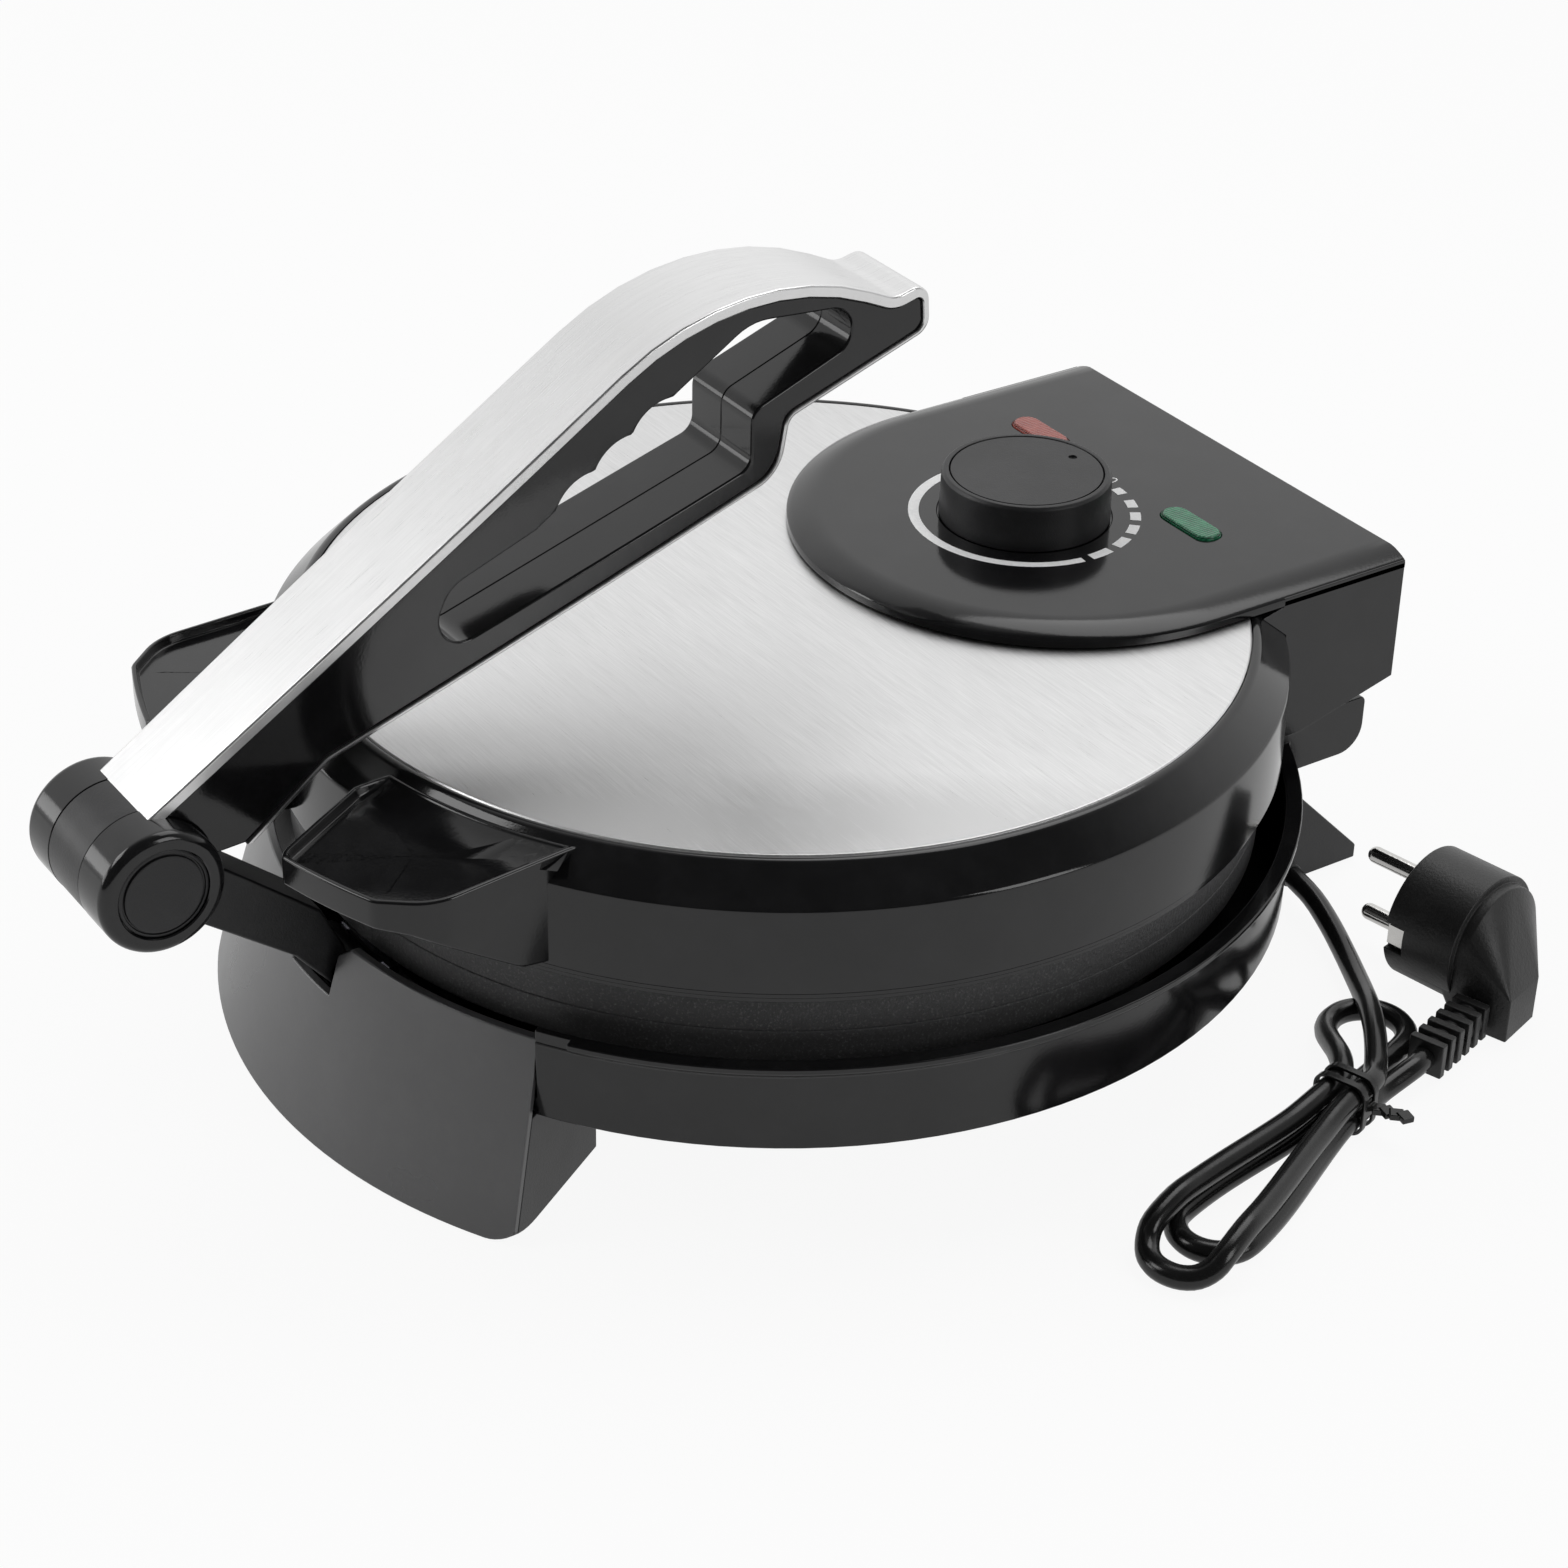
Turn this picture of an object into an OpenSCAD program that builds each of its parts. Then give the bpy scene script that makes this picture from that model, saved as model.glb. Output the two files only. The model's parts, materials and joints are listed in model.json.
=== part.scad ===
// Electric roti maker: two round cooking plates, a hinged lid and a press handle.
// Millimetres, Z up. The origin is on the table, under the middle of the footprint.
// Inside the modules the Z axis runs through the middle of the plates: unit() moves
// each piece back by plate_y, so that the origin lies under the middle of the whole.

/* [Cooking plates] */
// Radius of both cooking plates
plate_r = 133; // [126:1:140]
// Height of the lower plate's cooking face above the table
parting_z = 62; // [60:1:68]
// Depth of the lower plate at its rim
lower_plate_t = 9.5; // [8.5:0.5:10.5]
// Depth of the upper plate at its rim
upper_plate_t = 11; // [9:0.5:12]
// Thickness of each plate inside its rim
plate_web = 5; // [4:0.5:6]
// Gap between the closed plates
plate_gap = 0.3; // [0.2:0.1:0.6]

/* [Lid] */
// Height of the lid ring
lid_h = 36; // [32:1:40]
// How far the lid ring stands out past the plates
ring_over = 5; // [4:0.5:7]
// Width and height of the chamfer round the lid ring
ring_chamfer = 9; // [6:0.5:11]
// Width of the flat black edge round the steel disc
bezel = 2; // [1.5:0.5:3]
// Wall of the black mouldings
wall = 3; // [2.5:0.25:3.5]
// Thickness of the steel disc
disc_t = 1.1; // [0.8:0.1:1.5]

/* [Base] */
// How far the base wall stands out past the plates
base_over = 9; // [8:0.5:11]
// Height of the base moulding above the table
base_z = 33; // [31:1:35]
// Depth of the base's lip below the lower plate's cooking face
lip_drop = 3; // [2.5:0.5:5]
// How far the lip stands out
lip_out = 3; // [2:0.5:4]
// Half of the angle that the front apron covers
apron_half = 32; // [29:1:35]
// How far the apron leans out at the table
apron_lean = 14; // [10:1:18]
// Depth of the apron's top edge below the base's lip
apron_drop = 4.3; // [3:0.1:7]
// Thickness of the apron
apron_t = 2.5; // [2:0.25:3]
// How far the front foot's back wall lies inside the plates' edge
foot_in = 24; // [18:1:29]
// Width of the rear foot
rear_foot_w = 110; // [100:1:120]
// How far the rear foot stands out past the plates
rear_foot_out = 37.7; // [33:0.1:43]
// Radius of the rubber feet
pad_r = 7; // [5:0.5:9]

/* [Lid hinge] */
// Distance from the plates' edge to the hinge axis
hinge_out = 12.3; // [11:0.1:14]
// Height of the hinge axis above the underside of the lid ring
hinge_up = 10.3; // [9:0.1:12]
// Radius of the hinge pins
hinge_pin_r = 3; // [2.5:0.25:3.5]
// Radius of the hinge ears
ear_r = 9; // [8:0.5:9.5]
// Distance from the middle to each hinge ear
ear_x = 56; // [50:1:57]
// Width of a hinge ear
ear_w = 12; // [8:0.5:12]
// Running clearance of a pin in its bore
pin_fit = 0.05; // [0.03:0.01:0.08]

/* [Control panel] */
// Half width of the control panel and its round front
panel_r = 74; // [70:1:78]
// Length of the panel from its round front to the rear wall
panel_l = 141.2; // [136:0.4:146]
// How far the rear wall stands out past the plates
panel_rear_out = 25; // [24:0.5:27]
// Thickness of the panel
panel_t = 5; // [4:0.25:6]
// Width of the slope round the panel
panel_bevel = 7.5; // [5:0.5:9]
// Height of the slope round the panel
panel_bevel_h = 2.5; // [1.5:0.25:3]
// Radius of the control knob
knob_r = 24; // [20:0.5:27]
// Height of the control knob
knob_h = 13.3; // [10:0.1:16]
// How far the knob lies in front of the middle of the panel's round end
knob_before = 8.4; // [0:0.4:15]
// Radius of the control shaft
shaft_r = 3; // [2.5:0.25:3.5]
// Length of a lamp lens
lens_l = 21.5; // [18:0.5:24]
// Width of a lamp lens
lens_w = 8.7; // [7:0.1:10]

/* [Press handle] */
// Width of the handle across its steel band
handle_w = 28; // [25:0.5:32]
// Thickness of the steel band along the top
band_t = 3.2; // [2.4:0.2:3.6]
// Thickness of the steel band along the underside
band_under_t = 1.2; // [1:0.1:1.6]
// How far the black sides lie below the band's edges
side_inset = 0.8; // [0.4:0.1:1.2]
// Radius of the pivot barrel
barrel_r = 17; // [15:0.5:18]
// Length of the pivot barrel
barrel_w = 44.4; // [40:0.4:46]
// Distance from the plates' edge to the pivot
pivot_out = 58.7; // [55:0.1:63]
// Depth of the pivot below the top of the lid
pivot_drop = 15.7; // [13:0.1:18]
// Radius of the pivot pin
pivot_pin_r = 4; // [3:0.25:5]
// Width of the link bar
link_w = 16; // [12:0.5:17]
// Height of the link bar
link_h = 16.7; // [13:0.1:18]
// Width of the link's knuckle inside the barrel
knuckle_w = 17.2; // [14:0.2:18]
// Distance from the plates' edge to the link's lower pin
link_pin_out = 3; // [2:0.25:4]
// Height of the link's lower pin above the base's floor
link_pin_up = 7.5; // [6.5:0.25:8]
// Radius of the link's lower pin
link_pin_r = 2.5; // [2:0.25:3]

/* [Lifting tabs] */
// How far the tabs' front lip stands out past the plates
tab_out = 42.8; // [35:0.4:47]
// Height of the tabs' rim below the top of the lid
tab_drop = 2; // [1:0.5:5]
// Height of the tabs' front face
tab_face = 8; // [6:0.5:10]
// Depth of the dish in each tab
tab_dish = 4.5; // [3:0.5:5.5]
// Width of the rim round the dish
tab_rim = 2.5; // [2:0.25:4]

/* [Cord] */
// Diameter of the cord
cord_d = 6.4; // [5.8:0.1:6.4]
// Radius of the round face of the plug
plug_r = 19.3; // [18.5:0.1:19.5]
// Diameter of the plug's pins
plug_pin_d = 4.8; // [4:0.1:4.8]
// Length of the plug's pins
plug_pin_l = 19; // [17:0.5:20]

/* [Hidden] */
$fn = 96;

plate_y = 19;                                   // plates' middle in front of or behind the origin
seam = 0.3;                                     // clearance between covers of different bodies
slack = 0.2;                                    // clearance of a loose insert in its recess
eps = 0.01;
far = 400;                                      // longer than the whole appliance

// Heights and radii that follow from the driving sizes
ring_z = parting_z + upper_plate_t;             // underside of the lid ring
lid_z = ring_z + lid_h;                         // top of the steel disc
ring_r = plate_r + ring_over;
ring_top_r = ring_r - ring_chamfer;
disc_r = ring_top_r - bezel;
knee_z = lid_z - ring_chamfer;
lip_z = parting_z - lip_drop;                   // top of the base's lip
base_r = plate_r + base_over;
base_wall = 2.5;
base_in_r = base_r - base_wall;
lower_z = parting_z - lower_plate_t;            // underside of the lower plate
floor_z = base_z + wall;                        // top of the base moulding's floor
hinge_y = plate_r + hinge_out;
hinge_z = ring_z + hinge_up;
block_top_z = hinge_z - 17.3;                   // stays out of the housing's sweep
block_z = base_z + 16;
block_front_y = plate_r - 33;
block_y = plate_r + panel_rear_out - 2;
block_half = panel_r - 7;
ear_arm = 6.5;                                  // half depth of a hinge ear below its eye

// Grooves along the bottom of the lid ring
groove_step = 0.7;
groove_h = 1.6;

// Panel and housing
panel_z = lid_z + seam;
panel_crease_z = panel_z + panel_t - panel_bevel_h;
panel_top_z = panel_z + panel_t;
panel_rear_y = plate_r + panel_rear_out;
panel_c = panel_rear_y - panel_l + panel_r;     // centre of the round front
knob_y = panel_c - knob_before;
panel_recess_r = knob_r + 2;
panel_recess = 0.6;
housing_low_front = ring_z - 6;
housing_low_rear = ring_z + 2.4;
knob_z = panel_top_z - panel_recess + 0.5;
knob_wall = 3;
cap_r = knob_r - 2.4;
cap_t = 2;
lens_rise = 1;
red_lens_pos = [-38.3, panel_c + 26.2];
green_lens_pos = [30.2, panel_c + 26.7];

// Heater tubes
heater_r = plate_r - 48;
heater_d = 8;
heater_gap_deg = 24;

// Apron: a cone round the plates' axis, from the table up to its top edge
apron_top_z = lip_z - apron_drop;
apron_foot_r = base_r + apron_lean;
apron_top_r = base_r - 2;
apron_z = 0.8;
apron_slope = (apron_foot_r - apron_top_r) / apron_top_z;
function apron_r(z) = apron_foot_r - apron_slope * z;
apron_corner_r = 8;
notch_half = 10;
notch_mouth = 15.6;
notch_z = floor_z + 3.6;
apron_seat_z = floor_z + 2.4;                   // where the apron takes over from the base's wall

// Feet and rubber pads
foot_back_r = plate_r - foot_in;
foot_side_deg = 1.1;                            // side wall of the front foot
foot_cell_deg = 2 * (apron_half - foot_side_deg) / 3;
pad_ring_r = plate_r - 1;
pad_boss_r = 5;
rear_foot_y = plate_r + rear_foot_out;
rear_foot_front_y = plate_r - 37;
rear_cell_w = (rear_foot_w - wall) / 3;
rear_pad_x = rear_cell_w + 1.3;
rear_pad_y = rear_foot_y - 14.7;

// Screws
screw_r = 1.7;
screw_head_r = 3.2;
screw_head_h = 1.6;
cover_screw_r = plate_r - 58.5;
cover_r = cover_screw_r + 4.5;
cover_hole_r = cover_screw_r - 4.5;
lid_screw_r = plate_r - 8;

// Handle: outline of the steel band, counter-clockwise from the pivot, as [y, z, corner radius]
band_outline = [[0, 0, 0], [28, 2, 0], [49, 18.5, 6], [181.5, 63.1, 12], [184.2, 78.3, 4],
    [228.3, 92.9, 5], [227.3, 106.6, 4.5], [217, 104, 7], [169.7, 125.9, 78], [0.5, 16.6, 0]];
// Thickness of the band along each edge of that outline
band_edges = [0, band_under_t, band_under_t, band_under_t, band_under_t, 2, band_t, band_t,
    band_t, 0];
// Finger opening, counter-clockwise
opening_outline = [[75.5, 36.8, 7], [172.8, 67, 5], [172.8, 82.5, 5], [208, 95.7, 6.5],
    [200, 105.8, 7], [172, 108.6, 16], [150, 94.8, 4], [108, 67.1, 4], [84.5, 57, 10]];
scallop_r = 12;
scallop_rise = 2.4;
scallop_pitch = 13.2;
scallops = 3;
scallop_first = [142, 89.5];
scallop_dir = [-0.835, -0.551];
handle_half = handle_w / 2;
black_half = handle_half - side_inset;
knuckle_half = knuckle_w / 2;
barrel_half = barrel_w / 2;
pivot_y = plate_r + pivot_out;
pivot_z = lid_z - pivot_drop;
knuckle_gap = 0.2;
pivot_cap_r = 12;
pivot_cap_t = 2;
handle_screw_at = [[64, 39], [177.2, 73], [214, 97]];
handle_screw_head_x = 8;

// Link bar: from the pivot down to the lower pin, as [y, z] from the pivot
link_tilt = 36.7;
link_straight = 56;
link_dir = [cos(link_tilt), -sin(link_tilt)];
link_up = [sin(link_tilt), cos(link_tilt)];
link_pin_y = plate_r + link_pin_out;
link_pin_z = floor_z + link_pin_up;
link_eye = [pivot_y - link_pin_y, link_pin_z - pivot_z];
link_eye_r = 6;
bracket_t = 4;
bracket_r = 3.8;
bracket_half = 9.2;

// Lifting tab, seen from above, as [x, distance from the plates' edge, corner radius]
tab_points = [[22, -13, 0], [22, 7, 2], [40.6, 38, 7], [62, 37, 8], [80, 17, 13], [70.5, -26, 0]];
tab_outline = [for (p = tab_points) [p.x, -plate_r - p.y, p.z]];
tab_r = plate_r + tab_out;
tab_z = lid_z - tab_drop;
tab_in_r = ring_top_r + tab_drop;               // on the ring's chamfer

// Cord: the hank lies along hank_u, from the tie at hank_at
cord_r = cord_d / 2;
cord_pitch = 7;                                 // between strands that lie side by side
hank_at = [153, 80.5];
hank_u = [0.315, -0.949];
hank_v = [0.949, 0.315];
hank_z = 3.2;
tie_lift = 1.4;
lift_reach = 24;
loop_rings = 24;
lobe_top_l = 86;
lobe_top_w = 13;
lobe_low_l = 73;
lobe_low_w = 12.5;
droop_l = 17;
lobe_back_u = 37;
lobe_back_r = 10.75;
hank_end_u = -8;
cord_exit = [rear_foot_w / 2, 140, 8];
grip_out = 7;
lead_points = [[62, 140, 8], [69, 139.6, 7.2], [77, 137.6, 5.4], [86, 134, 4.4], [95, 129.8, 4.6],
    [103, 125.6, 6.6], [110, 121.4, 9], [117, 117, 10.3], [126, 110.6, 10.4], [134, 104.4, 10.4],
    [142, 98.4, 10.8]];
relief_at = [148.6, 113];
relief_z = 6.5;
relief_l = 28;
relief_ribs = 6;
plug_at = [107.9, 148.1];
plug_z = plug_r + 0.2;
plug_turn = 11.5;                               // heading of the plug's pins off the X axis
plug_l = 22;

// ---- helpers -------------------------------------------------------------------------------

function unit_vec(v) = v / norm(v);
function flat(p) = [p.x, p.y];
function cross2(a, b) = a.x * b.y - a.y * b.x;

// Points of an arc of radius r that rounds the corner b between a and c
function arc_corner(a, b, c, r) =
    let (p = unit_vec(a - b), q = unit_vec(c - b), half = acos(p * q) / 2,
        mid = b + unit_vec(p + q) * r / sin(half), start = b + p * r / tan(half) - mid,
        turn = sign(cross2(p, q)) * -(180 - 2 * half), steps = max(2, ceil(abs(turn) / 10)))
    [for (i = [0:steps]) mid + [start.x * cos(turn * i / steps) - start.y * sin(turn * i / steps),
        start.x * sin(turn * i / steps) + start.y * cos(turn * i / steps)]];

// Outline with its corners rounded: each point is [x, y, corner radius]
function rounded(pts) = [for (i = [0:len(pts) - 1])
    let (n = len(pts), b = pts[i], a = pts[(i + n - 1) % n], c = pts[(i + 1) % n])
    each b[2] > 0 ? arc_corner(flat(a), flat(b), flat(c), b[2]) : [flat(b)]];

// A counter-clockwise outline moved inwards by depth[i] along the edge after point i
function inset_outline(pts, depth) = [for (i = [0:len(pts) - 1])
    let (n = len(pts), h = (i + n - 1) % n, a = flat(pts[h]), b = flat(pts[i]),
        c = flat(pts[(i + 1) % n]), p = unit_vec(b - a), q = unit_vec(c - b),
        s = b + [-p.y, p.x] * depth[h], t = b + [-q.y, q.x] * depth[i], turn = cross2(p, q),
        at = s + p * cross2(t - s, q) / turn, d = (depth[h] + depth[i]) / 2)
    [at.x, at.y, pts[i][2] == 0 ? 0 : turn > 0 ? max(0.5, pts[i][2] - d) : pts[i][2] + d]];

// Tube through points: sides facets, square ends
function ring_at(p, t, r, sides) =
    let (s = unit_vec(cross(t, [0, 0, 1])), u = cross(s, t))
    [for (i = [0:sides - 1]) p + r * (cos(360 * (i + 0.5) / sides) * s
        + sin(360 * (i + 0.5) / sides) * u)];
function heading(pts, i) = unit_vec(pts[min(i + 1, len(pts) - 1)] - pts[max(i - 1, 0)]);
module tube(pts, r, sides, start_dir, end_dir) {
    last = len(pts) - 1;
    points = [for (i = [0:last]) each ring_at(pts[i],
        i == 0 ? start_dir : i == last ? end_dir : heading(pts, i), r, sides)];
    walls = [for (i = [0:last - 1], j = [0:sides - 1])
        let (a = i * sides + j, b = i * sides + (j + 1) % sides)
        each [[a, a + sides, b], [b, a + sides, b + sides]]];
    caps = [[for (j = [0:sides - 1]) j], [for (j = [sides - 1:-1:0]) last * sides + j]];
    polyhedron(points, concat(walls, caps));
}

module unit(c) { color(c) translate([0, plate_y, 0]) children(); }
module at_pivot() { translate([0, -pivot_y, pivot_z]) children(); }
module along_x(w) { rotate([90, 0, 90]) linear_extrude(w, center = true) children(); }
module x_cylinder(r, x0, x1, y = 0, z = 0) {
    translate([x0, y, z]) rotate([0, 90, 0]) cylinder(r = r, h = x1 - x0);
}
module front_sector(half) { rotate([0, 0, -90 - half]) rotate_extrude(angle = 2 * half) children(); }
module block(x0, x1, y0, y1, z0, z1) { translate([x0, y0, z0]) cube([x1 - x0, y1 - y0, z1 - z0]); }
module both_sides() { children(); mirror([1, 0, 0]) children(); }
module four_round(r, first = 45) {
    for (a = [0:90:270]) rotate([0, 0, first + a]) translate([r, 0, 0]) children();
}

// ---- base ----------------------------------------------------------------------------------

module base_section() {
    polygon([[cover_hole_r, base_z], [base_r, base_z], [base_r + 0.5, lip_z - 4],
        [base_r + lip_out, lip_z - 1.6], [base_r + lip_out, lip_z], [base_in_r + 1, lip_z],
        [base_in_r, lip_z - 3], [base_in_r, floor_z], [cover_hole_r, floor_z]]);
}

// Ring of ribs that carries the lower plate
support_r = plate_r - 16;
module plate_support() {
    translate([0, 0, base_z + eps]) difference() {
        cylinder(r = support_r + 2.5, h = parting_z - plate_web - base_z - eps);
        translate([0, 0, -1]) cylinder(r = support_r, h = far);
    }
}

module base_posts() {
    four_round(heater_r + 10) translate([0, 0, base_z + eps]) cylinder(r = 4, h = 6);
    four_round(cover_screw_r) translate([0, 0, base_z + eps]) cylinder(r = 4.4, h = 9);
}

module hinge_block() {
    difference() {
        union() {
            along_x(2 * block_half) polygon(rounded([[block_front_y, block_z, 0],
                [block_y, block_z, 8], [block_y, block_top_z, 2], [block_front_y, block_top_z, 0]]));
            both_sides() {
                x_cylinder(ear_r, ear_x - ear_w / 2, ear_x + ear_w / 2, hinge_y, hinge_z);
                block(ear_x - ear_w / 2, ear_x + ear_w / 2, hinge_y - ear_arm, hinge_y + ear_arm,
                    block_top_z - 4, hinge_z);
            }
        }
        cylinder(r = base_in_r, h = far);
    }
}

module base_shell() {
    unit("#17181a") difference() {
        union() {
            rotate_extrude() base_section();
            plate_support();
            base_posts();
            hinge_block();
        }
        // the apron takes the wall's place at the front
        front_sector(apron_half + 0.1) polygon([[base_in_r - 3, apron_seat_z], [far, apron_seat_z], [far, far],
            [base_in_r - 3, far]]);
        front_sector(apron_half + 4) polygon([[base_r + 0.4, lip_z - 3.5], [far, lip_z - 3.5],
            [far, far], [base_r + 0.4, far]]);
        block(-notch_half, notch_half, -far, -link_pin_y + 8, floor_z + 0.2, far);
        both_sides() x_cylinder(hinge_pin_r + pin_fit, ear_x - ear_w, ear_x + ear_w, hinge_y, hinge_z);
        four_round(cover_screw_r) translate([0, 0, base_z - 1]) cylinder(r = screw_r + pin_fit, h = 8);
        // way in for the wires of the lid and the mains cord
        translate([14, base_in_r - 12, 0]) cylinder(r = 5, h = base_z + 10);
    }
}

module apron_face() {
    side = sin(apron_half) * apron_r(apron_z) + 1;
    top = sin(apron_half) * apron_top_r + 2;
    rotate([90, 0, 0]) linear_extrude(far) polygon(rounded([[-side, apron_z, apron_corner_r],
        [side, apron_z, apron_corner_r], [top, far, 0], [-top, far, 0]]));
}

module front_apron() {
    unit("#3a3b3e") difference() {
        intersection() {
            front_sector(apron_half) polygon([[apron_r(apron_z), apron_z],
                [apron_top_r, apron_top_z], [apron_top_r - apron_t, apron_top_z],
                [apron_r(apron_z) - apron_t, apron_z]]);
            apron_face();
        }
        rotate([90, 0, 0]) linear_extrude(far) polygon([[-notch_half, notch_z],
            [notch_half, notch_z], [notch_half, apron_top_z - 4], [notch_mouth, apron_top_z + 0.5],
            [-notch_mouth, apron_top_z + 0.5], [-notch_half, apron_top_z - 4]]);
    }
}

module front_foot() {
    in_low = apron_r(apron_z) - apron_t;
    in_top = apron_r(base_z) - apron_t;
    unit("#1b1c1e") difference() {
        intersection() {
            front_sector(apron_half) polygon([[foot_back_r, apron_z], [in_low, apron_z],
                [in_top, base_z], [foot_back_r, base_z]]);
            apron_face();
        }
        for (i = [-1:1]) rotate([0, 0, i * foot_cell_deg]) difference() {
            front_sector(foot_cell_deg / 2 - 0.45) polygon([[foot_back_r + wall, -1], [in_low - 2, -1],
                [in_top - 2, base_z - wall], [foot_back_r + wall, base_z - wall]]);
            if (i != 0) translate([0, -pad_ring_r, wall]) cylinder(r = pad_boss_r, h = base_z);
        }
    }
}

module rear_foot() {
    slope_top = rear_foot_y - base_z + wall + 2;
    unit("#1b1c1e") difference() {
        along_x(rear_foot_w) polygon([[rear_foot_front_y, apron_z], [rear_foot_y, apron_z],
            [rear_foot_y, wall + 2], [slope_top, base_z], [rear_foot_front_y, base_z]]);
        for (i = [-1:1]) difference() {
            translate([i * rear_cell_w, 0, 0]) along_x(rear_cell_w - wall) polygon([
                [rear_foot_front_y + wall, -1], [rear_foot_y - wall, -1], [rear_foot_y - wall, wall],
                [slope_top - 1.2 * wall, base_z - wall], [rear_foot_front_y + wall, base_z - wall]]);
            if (i != 0) translate([i * rear_pad_x, rear_pad_y, wall])
                cylinder(r = pad_boss_r, h = base_z);
        }
        x_cylinder(4.7, rear_foot_w / 2 - 2 * wall, far, cord_exit.y, cord_exit.z);
    }
}

module rubber_pad() { cylinder(r = pad_r, h = wall); }
module rubber_feet() {
    unit("#111111") {
        both_sides() rotate([0, 0, foot_cell_deg]) translate([0, -pad_ring_r, 0]) rubber_pad();
        both_sides() translate([rear_pad_x, rear_pad_y, 0]) rubber_pad();
    }
}

module bottom_cover() {
    unit("#1b1c1e") difference() {
        translate([0, 0, base_z - wall]) cylinder(r = cover_r, h = wall);
        four_round(cover_screw_r) {
            translate([0, 0, base_z - wall - 1]) cylinder(r = screw_r + pin_fit, h = wall + 2);
            translate([0, 0, base_z - wall - 1]) cylinder(r = screw_head_r + slack, h = 1 + screw_head_h);
        }
        for (i = [-3:3]) block(i * 12 - 2, i * 12 + 2, -30, 30, base_z - wall - 1, base_z + 1);
    }
}

module screw(length) {
    cylinder(r = screw_head_r, h = screw_head_h);
    cylinder(r = screw_r, h = length);
}

module base_screws() {
    unit("#8a8c90") four_round(cover_screw_r) translate([0, 0, base_z - wall]) screw(wall + 6.5);
}

module plate(top_z, under_z, web_z) {
    rotate_extrude() polygon([[0, web_z], [plate_r - 7, web_z], [plate_r - 5.5, under_z],
        [plate_r, under_z], [plate_r, top_z], [0, top_z]]);
}

module lower_plate() {
    unit("#26272a") plate(parting_z, lower_z, parting_z - plate_web);
}

// Sheathed heating element: an open ring with two ends that turn away from the plate
module heater(face_z, side) {
    mid_z = face_z + side * heater_d / 2;
    rotate([0, 0, 90 + heater_gap_deg / 2]) rotate_extrude(angle = 360 - heater_gap_deg)
        translate([heater_r, mid_z]) circle(d = heater_d, $fn = 24);
    for (a = [-1, 1]) rotate([0, 0, 90 + a * (heater_gap_deg / 2 + 1.5)])
        translate([heater_r, 0, mid_z]) rotate([side > 0 ? 0 : 180, 0, 0])
            cylinder(r = heater_d / 2 - 0.5, h = 9);
}

module lower_heater() { unit("#5c5a57") heater(parting_z - plate_web, -1); }

module lower_reflector() {
    low = base_z + 6;
    unit("#b9bbbe") difference() {
        rotate_extrude() polygon([[0, low + eps], [support_r - 3, low + eps], [support_r - slack, low + 6],
            [support_r - 1, low + 6], [support_r - 3.6, low + 0.8], [0, low + 0.8]]);
        for (a = [-1, 1]) rotate([0, 0, 90 + a * heater_gap_deg / 2]) translate([heater_r, 0, 0])
            cylinder(r = heater_d / 2 + 2, h = far);
        four_round(cover_screw_r) cylinder(r = 5, h = far);
    }
}

module hinge_pins() {
    unit("#9a9ca0") both_sides() x_cylinder(hinge_pin_r, ear_x - ear_w / 2 - 1, panel_r - wall - 0.6,
        hinge_y, hinge_z);
}

module link_bracket() {
    unit("#8d8f93") difference() {
        union() {
            both_sides() {
                x_cylinder(bracket_r, bracket_half, bracket_half + bracket_t, -link_pin_y, link_pin_z);
                block(bracket_half, bracket_half + bracket_t, -link_pin_y - 2.4, -link_pin_y + 11,
                    floor_z, link_pin_z);
            }
            block(-bracket_half - bracket_t, bracket_half + bracket_t, -link_pin_y + 8.2,
                -link_pin_y + 11, floor_z, floor_z + 8);
        }
        x_cylinder(link_pin_r + pin_fit, -far, far, -link_pin_y, link_pin_z);
    }
}

module link_pin() {
    unit("#9a9ca0") x_cylinder(link_pin_r, -bracket_half - bracket_t, bracket_half + bracket_t,
        -link_pin_y, link_pin_z);
}

module terminal_block() {
    unit("#e8e4d8") difference() {
        block(-30, -4, support_r + 5, support_r + 15, floor_z, floor_z + 12);
        for (x = [-25, -17, -9]) translate([x, support_r + 10, floor_z + 4]) cylinder(r = 2.5, h = far);
    }
}

// ---- cord ----------------------------------------------------------------------------------

module cord_grip() {
    unit("#141414") translate([0, cord_exit.y, cord_exit.z]) rotate([0, 90, 0])
        rotate_extrude() polygon([[0, rear_foot_w / 2 - 6], [7, rear_foot_w / 2 - 6],
            [7, rear_foot_w / 2 - wall - slack], [4.6, rear_foot_w / 2 - wall - slack],
            [4.6, rear_foot_w / 2 + 1], [cord_r + 0.3, rear_foot_w / 2 + grip_out],
            [0, rear_foot_w / 2 + grip_out]]);
}

function ease(t) = (1 - cos(180 * min(1, max(0, t)))) / 2;
function lift(u) = tie_lift * (1 - ease(abs(u) / lift_reach));
function to_table(u, v, z) = let (p = hank_at + u * hank_u + v * hank_v) [p.x, p.y, z + lift(u)];
half_pitch = cord_pitch / 2;
high_z = hank_z + cord_pitch;
side_rings = loop_rings / 3;

// One side of a lobe, from the tie out to its fold: t runs from 0 to 1
function lobe_side(t, length, width, v0) = [t * (length - width),
    v0 + (width - abs(v0)) * sign(v0) * ease(t)];
// The fold at the end of a lobe: a runs from 90 to -90 degrees
function lobe_fold(a, length, width) = [length - width + width * cos(a), width * sin(a)];
// Height of the upper lobe, which comes down past the end of the lower one
function droop(u) = high_z - cord_pitch * ease((u - lobe_top_l + droop_l) / droop_l);

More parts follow.
